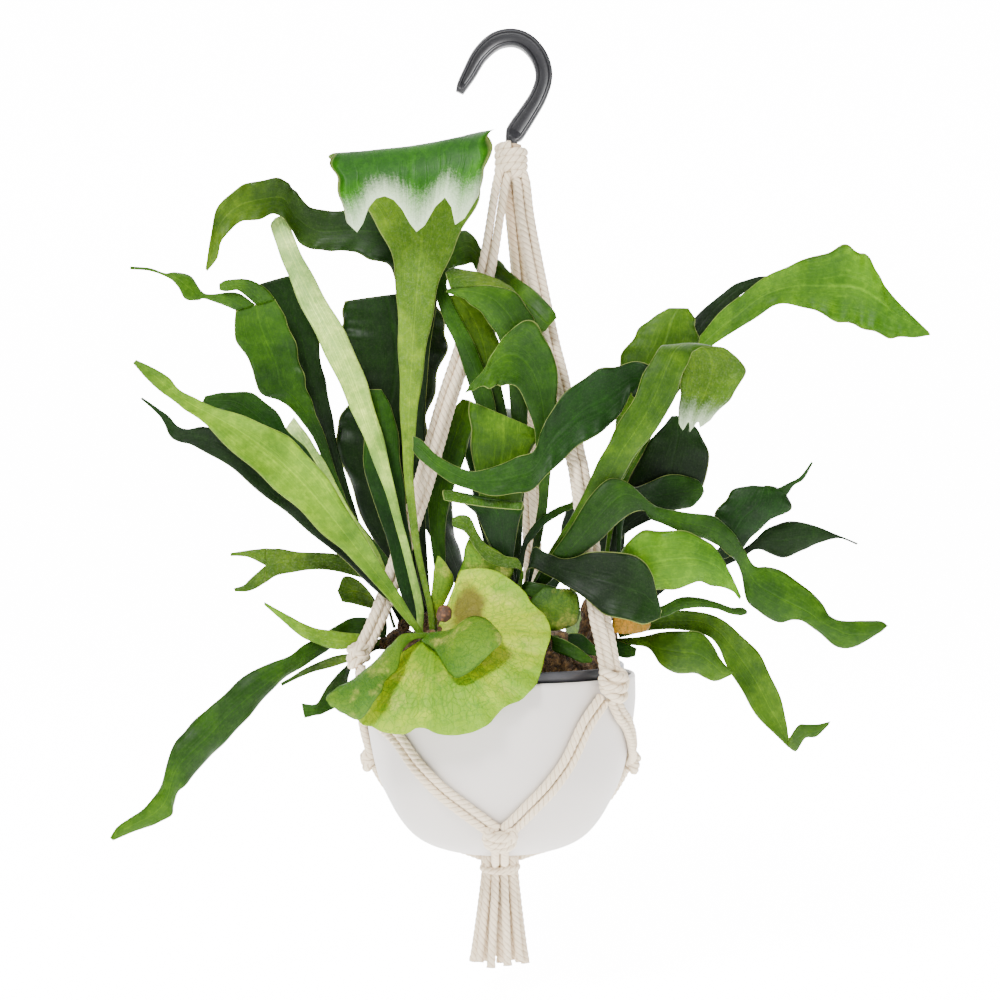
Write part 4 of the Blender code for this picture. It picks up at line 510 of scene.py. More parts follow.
STAND, KNOT_STAND = 3.5, 6.2        # the nets' cords and knots stand this far off the wall
WALL_LOW = -104                     # the nets' last run leaves the wall here
UNDER_POT = [(38, -112.8), (24, -115.2), (12.5, -117.4)]            # and goes on, as (radius, height)
GATHER = [(7.5, -113), (9.4, -116.5), (9.6, -120), (8.6, -125)]     # through the knot under the pot
GATHERED, OUTER_ENDS, INNER_ENDS = 11, 11, 5        # cords in that knot and in the tassel
TASSEL_TOP, TASSEL_LOW = -123.6, -181.3
WRAP_X, WRAP_LOW = 7, 308           # axis and lower end of the wrapping at the top
WRAP_CORE = [(0, 310.5), (6.6, 310.5), (7.2, 318), (7.2, 326), (6.4, 331.5), (0, 331.5)]
FOOT = 1.9                          # half width of a frond's foot
SHIELD_THICK = 1.1
PATCH, PATCH_SIZE = (-19, -55, 43), (13, 40, 19)    # the front shield's dead patch

# Hook: centre line (x, z) with the bar's width in the bend's plane and its thickness
HOOK_LINE = [
    (7, 320, 6.6, 6.6), (7, 326, 6.6, 6.6), (7.2, 333.4, 7.4, 7.0), (9, 338, 11.5, 8), (12, 343, 12, 8),
    (16.4, 349.5, 11.5, 8), (24, 362, 10.6, 8), (27.7, 374.5, 10.6, 8), (25, 386, 10.6, 8),
    (17.6, 395.2, 10.6, 8), (8, 398.9, 10.6, 8), (-3, 396.6, 10.6, 8), (-12.6, 388, 9.8, 8),
    (-19.5, 376, 8.6, 7.6), (-23.5, 369, 7.0, 7), (-25.5, 364.5, 5.0, 5.6),
]
NURSERY_POT = [(0, -104.6), (38, -104.6), (42, -102.7), (58, -54), (75.5, -4), (77.6, -0.8), (78, 0),
               (78, 5.2), (77.2, 6), (76.2, 6), (75.4, 5.2), (74.6, -3), (57, -54), (39.8, -100),
               (37, -101.9), (0, -101.9)]
POT_LIP = [(84.7, -0.9), (84.1, -0.2), (83.4, 0), (82.7, -0.2), (82.1, -0.9)]

# Studio, in metres and watts: lens and sensor in mm, the floor under the tassel, and each lamp's
# place, power and size
LENS, EYE, FLOOR, AIM = (68.6, 36), (-0.009, -1.2, -0.286), -0.594, (0, 0, -0.30)
LAMPS = {
    "Key": ((-0.8, -1.4, 1.1), 84, 0.5), "Fill": ((1.3, -1.2, 0.1), 14, 1.2),
    "Top": ((0.1, 0.3, 1.1), 16, 1.2), "Back": ((0.5, 1.2, 0.8), 14, 1.6),
}


# ------------ Meshes ------------
def place_object(name, mesh):
    piece = bpy.data.objects.new(name, mesh)
    bpy.context.scene.collection.objects.link(piece)
    return piece


def read_points(mesh):
    points = np.empty(len(mesh.vertices) * 3)
    mesh.vertices.foreach_get("co", points)
    return points.reshape(-1, 3)


def write_points(mesh, points):
    mesh.vertices.foreach_set("co", points.ravel())


def mark(mesh, name, values):
    """Give a mesh a mask: one number a point."""
    mesh.attributes.new(name, "FLOAT", "POINT").data.foreach_set("value", values.ravel().astype(np.float32))


def mend(mesh, merge=None):
    """Merge points that meet, where a distance is given, and turn every face outwards."""
    made = bmesh.new()
    made.from_mesh(mesh)
    if merge is not None:
        bmesh.ops.remove_doubles(made, verts=made.verts, dist=merge)
    bmesh.ops.recalc_face_normals(made, faces=made.faces)
    made.to_mesh(mesh)
    made.free()


def ball(name, shape):
    """A smooth round body: a ball of radius 1, its points carried by a function, in mm."""
    made = bmesh.new()
    bmesh.ops.create_icosphere(made, subdivisions=4, radius=1.0)
    mesh = bpy.data.meshes.new(name)
    made.to_mesh(mesh)
    made.free()
    write_points(mesh, (shape(read_points(mesh)) + RIM) * MM)
    mesh.uv_layers.new(name="lay")
    mesh.shade_smooth()
    return place_object(name, mesh)


def body(name, rings, uv, masks, caps=True, closed=False):
    """Mesh object from rings of points (count, around, 3) in mm, closed around the rings.

    uv has the same first two axes. masks are named arrays of one number a point. A strip caps
    the flat ends of a blade, whose rings run over its top and back under it.
    """
    count, around = rings.shape[:2]
    index = np.arange(count * around).reshape(count, around)
    nxt = np.roll(index, -1, axis=1)
    if closed:
        low, high = index, np.roll(index, -1, axis=0)
        low2, high2 = nxt, np.roll(nxt, -1, axis=0)
    else:
        low, high, low2, high2 = index[:-1], index[1:], nxt[:-1], nxt[1:]
    faces = np.stack([low, low2, high2, high], axis=-1).reshape(-1, 4).tolist()
    if caps == "strip":
        top = np.arange(around // 2 + 1)
        low = -top % around
        low[-1] = top[-1]
        quads = np.stack([top[1:-2], top[2:-1], low[2:-1], low[1:-2]], axis=-1)
        for ring, turn in ((index[0], 1), (index[-1], -1)):
            ends = [ring[[top[0], top[1], low[1]]][::turn], ring[[top[-2], top[-1], low[-2]]][::turn]]
            faces += ring[quads][:, ::turn].tolist() + [e.tolist() for e in ends]
    elif caps and not closed:
        faces += [index[0, ::-1].tolist(), index[-1].tolist()]
    mesh = bpy.data.meshes.new(name)
    mesh.from_pydata(((rings.reshape(-1, 3) + RIM) * MM).tolist(), [], faces)
    where = np.empty(len(mesh.loops), int)
    mesh.loops.foreach_get("vertex_index", where)
    layer = mesh.uv_layers.new(name="lay")
    layer.data.foreach_set("uv", uv.reshape(-1, 2)[where].ravel().astype(np.float32))
    for key, values in masks.items():
        mark(mesh, key, np.broadcast_to(values, (count, around)))
    mend(mesh)
    mesh.shade_smooth()
    return place_object(name, mesh)


def join(pieces, name):
    """Make one object of several."""
    with bpy.context.temp_override(active_object=pieces[0], selected_editable_objects=pieces,
                                   selected_objects=pieces, object=pieces[0]):
        bpy.ops.object.join()
    pieces[0].name = pieces[0].data.name = name
    return pieces[0]


# ------------ Lines ------------
def spline(points, where):
    """Points on a smooth curve through the rows of an array, read at positions counted in rows.

    Each span blends the four nearest rows with the cubic weights of a Catmull-Rom curve.
    """
    points = np.asarray(points, float)
    p = np.vstack([2 * points[0] - points[1], points, 2 * points[-1] - points[-2]])
    i = np.clip(where.astype(int), 0, len(points) - 2)
    f = (where - i)[:, None]
    a, b, c, d = p[i], p[i + 1], p[i + 2], p[i + 3]
    return 0.5 * (2 * b + (c - a) * f + (2 * a - 5 * b + 4 * c - d) * f ** 2
                  + (3 * b - a - 3 * c + d) * f ** 3)


def curve(points, count):
    """That many points on a smooth curve through the rows, from the first row to the last."""
    return spline(points, np.linspace(0, len(points) - 1, count))


def unit(a):
    return a / (np.linalg.norm(a, axis=-1, keepdims=True) + 1e-9)


def run_of(points):
    """Length of a line of points from its start to each of them."""
    return np.r_[0, np.cumsum(np.linalg.norm(np.diff(points, axis=0), axis=1))]


def about(radius, angle, z):
    """Points about the upright axis: a radius, an angle from the front in radians, and a height."""
    return np.stack(np.broadcast_arrays(radius * np.sin(angle), -radius * np.cos(angle), z), axis=-1)


def finer(points, step):
    """A smooth curve through the points, with a point about every step."""
    length = run_of(np.asarray(points, float))
    count = max(4, int(length[-1] / step))
    return spline(points, np.interp(np.linspace(0, length[-1], count), length, np.arange(len(points))))


def even_path(points, step):
    """A smooth curve through the points, read at even steps of its length."""
    fine = curve(points, len(points) * 24)
    length = run_of(fine)
    at = np.linspace(0, length[-1], max(4, int(length[-1] / step) + 1))
    return np.stack([np.interp(at, length, fine[:, k]) for k in range(3)], axis=-1), at


# ------------ Blades ------------
def foot(rows, centre, distance):
    """Put a narrow first row at a distance from a crown's or bud's centre, facing the second row."""
    centre = np.array(centre, float)
    left, right = np.array(rows[0][:3], float), np.array(rows[0][3:], float)
    out = unit((left + right) / 2 - centre)
    side = right - left
    side = unit(side - out * (side @ out)) * FOOT
    base = centre + out * distance
    return [(*(base - side), *(base + side))] + rows


def on_crown(rows, crown):
    """A blade with its foot just inside a crown's surface."""
    *centre, radius = CROWNS[crown]
    return foot(rows, centre, radius - 0.2)


def blade_sheet(rows, cup, wave, notches=None, start=None, columns=16, per_row=9):
    """Mid surface of a blade as a grid, with its two parameters.

    Both edges are smooth curves through the rows. Between them the surface bows by cup times
    the local width along its normal, as 4v(1-v). Towards the edges a sine along the length and
    a finer one ripple it, and a third lets its width breathe. Notches shorten some columns
    towards the tip.
    """
    data = np.array(rows, float)
    if start is not None:
        data = np.vstack([np.r_[start[0], start[-1]], data])
    count = (len(data) - 1) * per_row + 1
    at = np.linspace(0, len(data) - 1, count)
    v = np.linspace(0, 1, columns + 1)
    where = np.repeat(at[:, None], columns + 1, axis=1)
    if notches is not None:
        across_at, cuts = np.array(notches).T
        cut = spline(cuts[:, None], np.interp(v, across_at, np.arange(len(cuts))))[:, 0]
        where = at[:, None] * (1 - cut[None, :] * (at[:, None] / at[-1]) ** 3)
    edges = spline(data, where.ravel()).reshape(count, columns + 1, 6)
    grid = edges[..., :3] + (edges[..., 3:] - edges[..., :3]) * v[None, :, None]
    across = grid[:, -1] - grid[:, 0]
    middle = grid[:, columns // 2]
    normal = unit(np.cross(across, np.gradient(middle, axis=0)))
    width = np.linalg.norm(across, axis=1)
    u = np.linspace(0, 1, count)
    bow = cup * width[:, None] * (4 * v * (1 - v))[None, :]
    ends = np.minimum(1, np.minimum(u * 4, (1 - u) * 5))[:, None]
    phase = float(abs(data).sum() % 7)
    turns = 2 * math.pi * np.linalg.norm(np.diff(middle, axis=0), axis=1).sum() / RIPPLE
    coarse = np.sin(u[:, None] * turns + phase + 2.2 * v[None, :])
    fine = np.sin(u[:, None] * turns * 2.7 + 2 * phase + 5 * v[None, :])
    size = np.minimum(2.4 * wave, 0.09 * width)[:, None]
    swell = size * (coarse + 0.5 * fine) * ends * np.abs(2 * v - 1)[None, :] ** 2.5
    grid = grid + normal[:, None, :] * (bow + swell)[..., None]
    bulge = 0.05 * np.sin(u[:, None] * turns * 1.4 + 1.7 * phase + 3 * v[None, :]) * ends
    grid = grid + across[:, None] * (bulge * (v - 0.5)[None, :])[..., None]
    if start is not None:
        grid[0] = start
    return grid, u, v


def thick_blade(name, sheet, u, v, thickness, upper, down=None, grow=(0, 1), margin=None):
    """Closed blade body from its mid surface.

    Each face stands off the sheet by half the thickness, which falls to nothing at the edges
    as the sixth power of the distance from the middle, so the edges are round. grow is the
    part of the whole leaf's length that this blade takes.
    """
    normal = unit(np.cross(np.gradient(sheet, axis=1), np.gradient(sheet, axis=0)))
    half = thickness / 2 * np.sqrt(np.clip(1 - (2 * v - 1) ** 6, 0, 1)) * np.ones((len(u), 1))
    half = half * (1 + 0.8 * np.exp(-u * 9))[:, None]
    top, low = sheet + normal * half[..., None], sheet - normal * half[..., None]
    rings = np.concatenate([top, low[:, -2:0:-1]], axis=1)
    faces = np.r_[np.ones(len(v)), np.zeros(len(v) - 2)]
    faces[0] = faces[len(v) - 1] = 0.5
    run = (grow[0] + (grow[1] - grow[0]) * u)[:, None]
    spread = np.r_[v, v[-2:0:-1]][None]
    rim = np.maximum(np.abs(2 * spread - 1), (np.clip(u, 0, 1) ** 12)[:, None])
    masks = {"upper": 1 - faces if upper < 0 else faces,
             "down": 0.0 if down is None else np.clip((run - down) / (1.0 - down), 0, 1),
             "margin": rim if margin is None else margin(u)[:, None]}
    return body(name, rings, np.stack(np.broadcast_arrays(run, spread), axis=-1), masks, caps="strip")


def leaf_piece(name, rows, cup, wave, leaves, upper=1, down=None, notches=None, start=None, grow=(0, 1)):
    """A blade of the given rows, and its mid surface. A lobe starts on part of its stalk's last row."""
    columns = leaves.columns if start is None else len(start) - 1
    sheet, u, v = blade_sheet(rows, cup, wave, notches, start, columns)
    return thick_blade(name, sheet, u, v, leaves.blade / MM, upper, down, grow), sheet


def shares(sheet, low, high):
    """The part of a sheet's last row between two shares of its width."""
    last = sheet.shape[1] - 1
    return sheet[-1, int(last * low):int(last * high) + 1]


def shield_sheet(heart, border, ripple=2.0, rows=56, columns=150):
    """Mid surface of a round shield as a grid of rays from its heart to its border.

    Along a ray with share t the point runs straight from heart to border in x and z, while its
    depth falls as 1-(1-t)^2, so the shield arches over the pot's rim. Folds fan out from the
    heart, and the border ruffles more and more finely as t nears 1.
    """
    heart = np.array(heart, float)
    gone = run_of(np.array(border, float))
    v = np.linspace(0, 1, columns + 1)
    edge = spline(border, np.interp(v * gone[-1], gone, np.arange(len(border))))
    t = np.linspace(0.05, 1, rows)[:, None]
    grid = heart + (edge - heart)[None] * t[..., None]
    grid[..., 1] = heart[1] + (edge[None, :, 1] - heart[1]) * (1 - (1 - t) ** 2)
    normal = unit(np.cross(np.gradient(grid, axis=1), np.gradient(grid, axis=0)))
    fans = 0.9 * np.sin(2 * math.pi * 7 * v + 1.0) * t ** 1.5
    fans = fans + ripple * 0.6 * np.sin(2 * math.pi * 15 * v + 2) * t ** 5
    fans = fans + ripple * 0.28 * np.sin(2 * math.pi * 31 * v + 4) * t ** 9
    return grid + normal * fans[..., None], t[:, 0], v


# ------------ Turned bodies and cords ------------
def turned(name, profile, steps, lumps=None):
    """A turned body from a profile of (radius, height) points in mm, its poles closed."""
    profile = np.asarray(profile, float)
    turn = np.linspace(0, 2 * math.pi, steps, endpoint=False)
    points = about(profile[:, :1], turn[None], profile[:, 1:])
    if lumps is not None:
        points = lumps(points)
    share = np.linspace(0, 1, len(profile))[:, None]
    uv = np.stack(np.broadcast_arrays(turn[None] / (2 * math.pi), share), axis=-1)
    piece = body(name, points, uv, {}, caps=False, closed=True)
    mend(piece.data, 0.02 * MM)
    return piece


def cord(name, path, radius, facing, lay, phase=0.0, offset=(0, 0), fray=0.0, step=0.9, around=18):
    """A laid cord of three strands along a path, and its centre line.

    The section is a round with three lobes, r = radius (0.84 + 0.16 |cos 1.5 a|), turned about
    the path once every lay. facing gives the way the section's second axis looks, and offset
    carries the whole cord sideways and outwards from the path.
    """
    line, at = even_path(path, step)
    tangent = unit(np.gradient(line, axis=0))
    out = np.broadcast_to(np.asarray(facing(line), float), line.shape)
    out = unit(out - tangent * (out * tangent).sum(1)[:, None])
    side = np.cross(tangent, out)
    middle = line + side * offset[0] + out * offset[1]
    a = np.linspace(0, 2 * math.pi, around, endpoint=False)
    groove = np.abs(np.cos(1.5 * a))
    lobes = radius * (0.84 + 0.16 * groove)
    grow = 1 + fray * np.clip((at - at[-1] + 9) / 9, 0, 1) ** 2
    turn = a[None, :] + (at / lay * 2 * math.pi + phase)[:, None]
    rings = middle[:, None] + grow[:, None, None] * lobes[None, :, None] * (
        side[:, None] * np.cos(turn)[..., None] + out[:, None] * np.sin(turn)[..., None])
    uv = np.stack(np.broadcast_arrays(at[:, None] * 0.1, a[None] / (2 * math.pi)), axis=-1)
    # The groove mask places the painted shade between the strands
    return body(name, rings, uv, {"groove": groove}), middle


def level(line):
    """The way out of the upright axis at points near it."""
    return line * (1, 1, 0)


def on_pot(azimuth, z, stand):
    """Points off the pot's wall from arrays of azimuth (degrees from the front) and wall height.

    Each is carried out along the wall's normal, which leans with the profile's slope.
    """
    radii, heights = np.array(POT_OUT[::-1], float).T
    z = np.asarray(z, float)
    lean = (np.interp(z + 5, heights, radii) - np.interp(z - 5, heights, radii)) / 10
    out = stand / np.hypot(1, lean)
    return about(np.interp(z, heights, radii) + out, np.radians(azimuth), z - out * lean)


def off_pot(line):
    """The way off the pot's wall at points near it, turning downwards under the base."""
    low = np.clip((-80 - line[:, 2]) / 30, 0, 1)[:, None]
    flat = unit(level(line)) + np.array((1e-3, 0, 0))
    return flat * (1 - low) + np.array((0, 0, -1.0)) * low


# ------------ Finishes ------------
def node(tree, kind, inputs=(), **settings):
    """Add a shader node, set its settings, and set or link its inputs."""
    made = tree.nodes.new("ShaderNode" + kind)
    for key, value in settings.items():
        setattr(made, key, value)
    for key, value in dict(inputs).items():
        if isinstance(value, bpy.types.NodeSocket):
            tree.links.new(value, made.inputs[key])
        else:
            made.inputs[key].default_value = value
    return made


def mix(tree, share, one, two, blend="MIX"):
    """Colour mix of two colours or sockets."""
    made = node(tree, "Mix", {0: share, 6: one, 7: two}, data_type="RGBA", blend_type=blend)
    return made.outputs[2]


def tint(tree, share, colour, red, green, blue):
    """Multiply a share of a colour's red, green and blue."""
    return mix(tree, share, colour, mix(tree, 1.0, colour, (red, green, blue, 1), "MULTIPLY"))


def ramp(tree, value, low, high, to_low=0.0, to_high=1.0):
    """Map a value smoothly from one range to another."""
    made = node(tree, "MapRange", {"Value": value, "From Min": low, "From Max": high,
                                   "To Min": to_low, "To Max": to_high}, interpolation_type="SMOOTHSTEP")
    return made.outputs[0]


def sums(tree, operation, *values):
    """Math node on one, two or three values."""
    return node(tree, "Math", dict(enumerate(values)), operation=operation).outputs[0]


def plus(tree, one, two):
    return sums(tree, "ADD", one, two)


def times(tree, value, factor, offset=None):
    """A value times a factor, with an offset added where one is given."""
    if offset is None:
        return sums(tree, "MULTIPLY", value, factor)
    return sums(tree, "MULTIPLY_ADD", value, factor, offset)


def noise(tree, vector, scale, detail=3.0, rough=0.5):
    made = node(tree, "TexNoise", {"Vector": vector, "Scale": scale, "Detail": detail, "Roughness": rough})
    return made.outputs["Fac"]


def mask(tree, name):
    """One of the masks that a piece's points carry."""
    return node(tree, "Attribute", attribute_name=name).outputs["Fac"]


def place(tree):
    return node(tree, "TexCoord").outputs["Object"]


def lay_of(tree):
    """Share of the length and share of the width."""
    layer = node(tree, "UVMap", uv_map="lay").outputs[0]
    return node(tree, "SeparateXYZ", {0: layer}).outputs[:2]


def pair(tree, one, two):
    """A vector of two values."""
    return node(tree, "CombineXYZ", {0: one, 1: two}).outputs[0]


def leaf_surface(tree, given):
    """Leaf: upper and under colour by face, painted shade at the foot, mottling partly painted shade, fine
    veins, a pale edge and white down.
    """
    spot = place(tree)
    along, across = lay_of(tree)
    upper = ramp(tree, mask(tree, "upper"), 0.35, 0.65)
    colour = mix(tree, upper, given["Under"], given["Upper"])
    # The blade warms towards its tip
    colour = mix(tree, times(tree, ramp(tree, along, 0.45, 1.0), 0.7), colour, given["Tip"])
    # Painted shade: darker where the blade starts, between its neighbours
    colour = tint(tree, ramp(tree, along, 0.0, 0.42, 0.62, 0.0), colour, 0.30, 0.42, 0.34)
    # Broad and fine mottling; the broad dark patches are partly painted shade
    broad = noise(tree, spot, 26.0, 2.0)
    fine = noise(tree, spot, 170.0, 3.0, 0.65)
    speck = noise(tree, spot, 520.0, 3.0, 0.7)
    colour = tint(tree, ramp(tree, broad, 0.42, 0.60, 0.0, 0.75), colour, 0.34, 0.46, 0.34)
    colour = tint(tree, ramp(tree, fine, 0.42, 0.66, 0.0, 0.5), colour, 2.0, 1.65, 1.7)
    colour = tint(tree, ramp(tree, speck, 0.40, 0.60, 0.4, 0.0), colour, 0.55, 0.66, 0.5)
    # Veins run along the blade, warped a little
    warp = noise(tree, spot, 14.0, 1.0)
    lines = pair(tree, times(tree, along, 5.0), times(tree, across, 30.0, times(tree, warp, 3.0)))
    vein = ramp(tree, noise(tree, lines, 1.0, 3.0, 0.65), 0.50, 0.66)
    colour = tint(tree, times(tree, vein, given["Veins"]), colour, 1.9, 1.65, 1.5)
    # Middle rib
    rib = ramp(tree, sums(tree, "ABSOLUTE", times(tree, across, 2.0, -1.0)), 0.0, 0.07, 1.0, 0.0)
    colour = tint(tree, times(tree, rib, 0.45), colour, 2.1, 1.8, 1.6)
    # Pale thin edge
    edge = ramp(tree, mask(tree, "margin"), 0.955, 0.995)
    colour = mix(tree, times(tree, edge, 0.60), colour, (0.30, 0.36, 0.10, 1))
    # Star-shaped hairs: a white bloom on the under face, and thick down towards some tips
    hairs = noise(tree, spot, 900.0, 4.0, 0.8)
    bloom = times(tree, ramp(tree, hairs, 0.45, 0.85), times(tree, upper, -0.16, 0.19))
    colour = mix(tree, bloom, colour, (0.42, 0.48, 0.32, 1))
    streak = noise(tree, lines, 2.2, 3.0, 0.7)
    thick = plus(tree, mask(tree, "down"), times(tree, streak, 0.5, -0.25))
    thick = ramp(tree, plus(tree, thick, times(tree, hairs, 0.8, -0.4)), 0.15, 1.30, 0.0, 0.90)
    colour = mix(tree, thick, colour, (0.56, 0.70, 0.46, 1))
    rough = plus(tree, ramp(tree, upper, 0.0, 1.0, 0.62, 0.40), times(tree, fine, 0.12))
    rough = sums(tree, "MAXIMUM", rough, times(tree, thick, 0.9))
    height = plus(tree, times(tree, vein, 0.55), times(tree, fine, 0.5))
    return colour, rough, sums(tree, "SUBTRACT", height, times(tree, rib, 0.8))


def veins_of_net(tree, vector, scale, width):
    """Thin lines between the cells of a net."""
    net = node(tree, "TexVoronoi", {"Vector": vector, "Scale": scale}, feature="DISTANCE_TO_EDGE")
    return ramp(tree, net.outputs["Distance"], 0.0, width, 1.0, 0.0)


def shield_surface(tree, given):
    """Shield frond: lime with a net of sunken veins, yellow blotches and a dead brown patch."""
    spot = place(tree)
    along, across = lay_of(tree)
    rays = pair(tree, times(tree, along, 3.0), times(tree, across, given["Rays"]))
    ray = ramp(tree, noise(tree, rays, 1.0, 3.0, 0.6), 0.46, 0.62)
    drift = node(tree, "TexNoise", {"Vector": spot, "Scale": 70.0, "Detail": 3.0}).outputs["Color"]
    bent = node(tree, "VectorMath", {0: drift, 1: (0.012,) * 3, 2: spot}, operation="MULTIPLY_ADD").outputs[0]
    vein = veins_of_net(tree, bent, given["Net size"], 0.13)
    fine_vein = veins_of_net(tree, bent, times(tree, given["Net size"], 2.7), 0.16)
    broad = noise(tree, spot, 24.0, 3.0, 0.6)
    yellow = noise(tree, spot, 60.0, 4.0, 0.65)
    colour = mix(tree, ramp(tree, broad, 0.42, 0.60), given["Deep"], given["Flesh"])
    colour = mix(tree, ramp(tree, yellow, 0.5, 0.75, 0.0, 0.5), colour, (0.60, 0.50, 0.11, 1))
    colour = tint(tree, times(tree, ray, 0.55), colour, 0.60, 0.80, 0.40)
    colour = tint(tree, times(tree, vein, 0.70), colour, 0.48, 0.68, 0.34)
    colour = tint(tree, times(tree, fine_vein, 0.32), colour, 0.60, 0.74, 0.45)
    edge = ramp(tree, plus(tree, mask(tree, "margin"), times(tree, yellow, 0.16, -0.08)), 0.80, 1.0)
    colour = mix(tree, times(tree, edge, 0.6), colour, given["Deep"])
    aged = ramp(tree, plus(tree, mask(tree, "aged"), times(tree, yellow, 0.9, -0.45)), 0.35, 0.75)
    colour = mix(tree, times(tree, aged, 0.85), colour, given["Aged"])
    height = plus(tree, times(tree, vein, -0.8), times(tree, fine_vein, -0.35))
    return colour, times(tree, broad, 0.2, 0.42), plus(tree, height, times(tree, ray, 0.7))


def cotton_surface(tree, given):
    """Twisted cotton: fibres along the strands, painted shade in the grooves, a few darker flecks."""
    spot = place(tree)
    along, across = lay_of(tree)
    lines = pair(tree, times(tree, along, 5.0), times(tree, across, 42.0))
    fibre = noise(tree, lines, 1.6, 3.0, 0.7)
    fluff = noise(tree, spot, 1700.0, 2.0, 0.6)
    yarn = given["Yarn"]
    # deep is the yarn in painted shade, laid into the grooves between the strands
    deep = mix(tree, 1.0, yarn, (0.46, 0.36, 0.27, 1), "MULTIPLY")
    worn = mix(tree, 1.0, yarn, (0.66, 0.57, 0.46, 1), "MULTIPLY")
    colour = mix(tree, ramp(tree, mask(tree, "groove"), -0.1, 0.5), deep, yarn)
    colour = mix(tree, ramp(tree, fibre, 0.35, 0.65, 0.60, 0.0), colour, worn)
    fleck = ramp(tree, noise(tree, spot, 260.0, 2.0), 0.68, 0.75)
    colour = mix(tree, times(tree, fleck, 0.35), colour, (0.38, 0.27, 0.17, 1))
    return colour, times(tree, fluff, 0.1, 0.86), plus(tree, fibre, times(tree, fluff, 0.6))


def ceramic_surface(tree, given):
    """Matt white glaze with the faintest clouding and orange-peel."""
    cloud = noise(tree, place(tree), 18.0, 3.0)
    colour = tint(tree, ramp(tree, cloud, 0.3, 0.7, 0.0, 0.5), given["Glaze"], 0.965, 0.96, 0.95)
    return colour, times(tree, cloud, 0.10, 0.42), noise(tree, place(tree), 420.0, 2.0)


def plastic_surface(tree, given):
    """Moulded charcoal plastic with fine grain and a few pale rubs."""
    rub = noise(tree, place(tree), 90.0, 4.0, 0.7)
    colour = tint(tree, ramp(tree, rub, 0.55, 0.8, 0.0, 0.4), given["Plastic"], 1.9, 1.9, 1.95)
    return colour, times(tree, rub, 0.18, 0.30), noise(tree, place(tree), 900.0, 2.0)


def earth_surface(tree, given):
    """Bark, fibre and crumbs: dark with lighter flecks."""
    spot = place(tree)
    crumb = noise(tree, spot, 240.0, 5.0, 0.75)
    fibre = node(tree, "TexWave", {"Vector": spot, "Scale": 70.0, "Distortion": 9.0, "Detail": 3.0,
                                   "Detail Scale": 2.0}).outputs["Fac"]
    colour = mix(tree, ramp(tree, crumb, 0.35, 0.7), given["Dark"], given["Light"])
    colour = mix(tree, times(tree, fibre, 0.35), colour, given["Dark"])
    return colour, times(tree, crumb, 0.1, 0.85), plus(tree, crumb, fibre)


def bud_surface(tree, given):
    """Bud in papery scales: rings of overlapping tips with a dry brown tone."""
    spot = place(tree)
    scale = node(tree, "TexVoronoi", {"Vector": spot, "Scale": 420.0}, feature="F1").outputs["Distance"]
    grain = noise(tree, spot, 600.0, 3.0)
    colour = mix(tree, ramp(tree, scale, 0.1, 0.6), given["Light"], given["Dark"])
    colour = mix(tree, ramp(tree, grain, 0.4, 0.7, 0.0, 0.4), colour, given["Dark"])
    return colour, times(tree, grain, 0.2, 0.6), times(tree, scale, -1.0)


def surface(name, build, colours, numbers=()):
    """Shader node group with its inputs, filled by a function that returns its three outputs."""
    tree = bpy.data.node_groups.new(name, "ShaderNodeTree")
    outputs = {"Colour": "Color", "Roughness": "Float", "Height": "Float"}
    inputs = dict.fromkeys(colours, "Color") | dict.fromkeys(numbers, "Float")
    for way, sockets in (("INPUT", inputs), ("OUTPUT", outputs)):
        for label, kind in sockets.items():
            tree.interface.new_socket(label, in_out=way, socket_type="NodeSocket" + kind)
    given = tree.nodes.new("NodeGroupInput").outputs
    out = tree.nodes.new("NodeGroupOutput").inputs
    for label, value in zip(outputs, build(tree, given)):
        tree.links.new(value, out[label])
    return tree


FINISHES = {}


def finish(key, name, looks, inputs, bump, strength, gloss=None):
    """Keep a material whose Principled shader takes a surface's colour, roughness and height."""
    made = bpy.data.materials.new(name)
    made.use_nodes = True
    tree = made.node_tree
    shader = tree.nodes["Principled BSDF"]
    wrapped = node(tree, "Group", node_tree=looks)
    for label, value in inputs.items():
        wrapped.inputs[label].default_value = value
    tree.links.new(wrapped.outputs["Colour"], shader.inputs["Base Color"])
    tree.links.new(wrapped.outputs["Roughness"], shader.inputs["Roughness"])
    raised = node(tree, "Bump", {"Height": wrapped.outputs["Height"], "Distance": bump, "Strength": strength})
    tree.links.new(raised.outputs[0], shader.inputs["Normal"])
    if gloss is not None:
        shader.inputs["Specular IOR Level"].default_value = gloss
    FINISHES[key] = made


def shade(colour, depth=(1, 1, 1)):
    """Linear colour from its everyday 0-255 values, deepened by a power."""
    value = np.array(colour) / 255
    linear = np.where(value <= 0.04045, value / 12.92, ((value + 0.055) / 1.055) ** 2.4) ** np.array(depth)
    return (*linear.tolist(), 1.0)


# Leaf finishes: upper face, under face, tip, strength of the veins
LEAVES = {
    "crest": ((62, 110, 24), (138, 160, 92), (96, 146, 52), 0.35),
    "deep": ((48, 76, 24), (76, 98, 50), (56, 88, 30), 0.30),
    "dark": ((52, 90, 22), (100, 120, 60), (88, 122, 36), 0.35),
    "hooked": ((58, 88, 28), (96, 118, 60), (126, 150, 74), 0.30),
    "green": ((84, 116, 34), (118, 138, 68), (108, 138, 42), 0.40),
    "bright": ((118, 150, 54), (136, 162, 80), (124, 160, 44), 0.40),
    "olive": ((106, 132, 62), (116, 138, 76), (110, 138, 60), 0.45),
    "grey": ((142, 168, 92), (124, 148, 86), (124, 152, 74), 0.55),
    "white": ((178, 200, 152), (164, 188, 134), (206, 222, 194), 1.0),
}
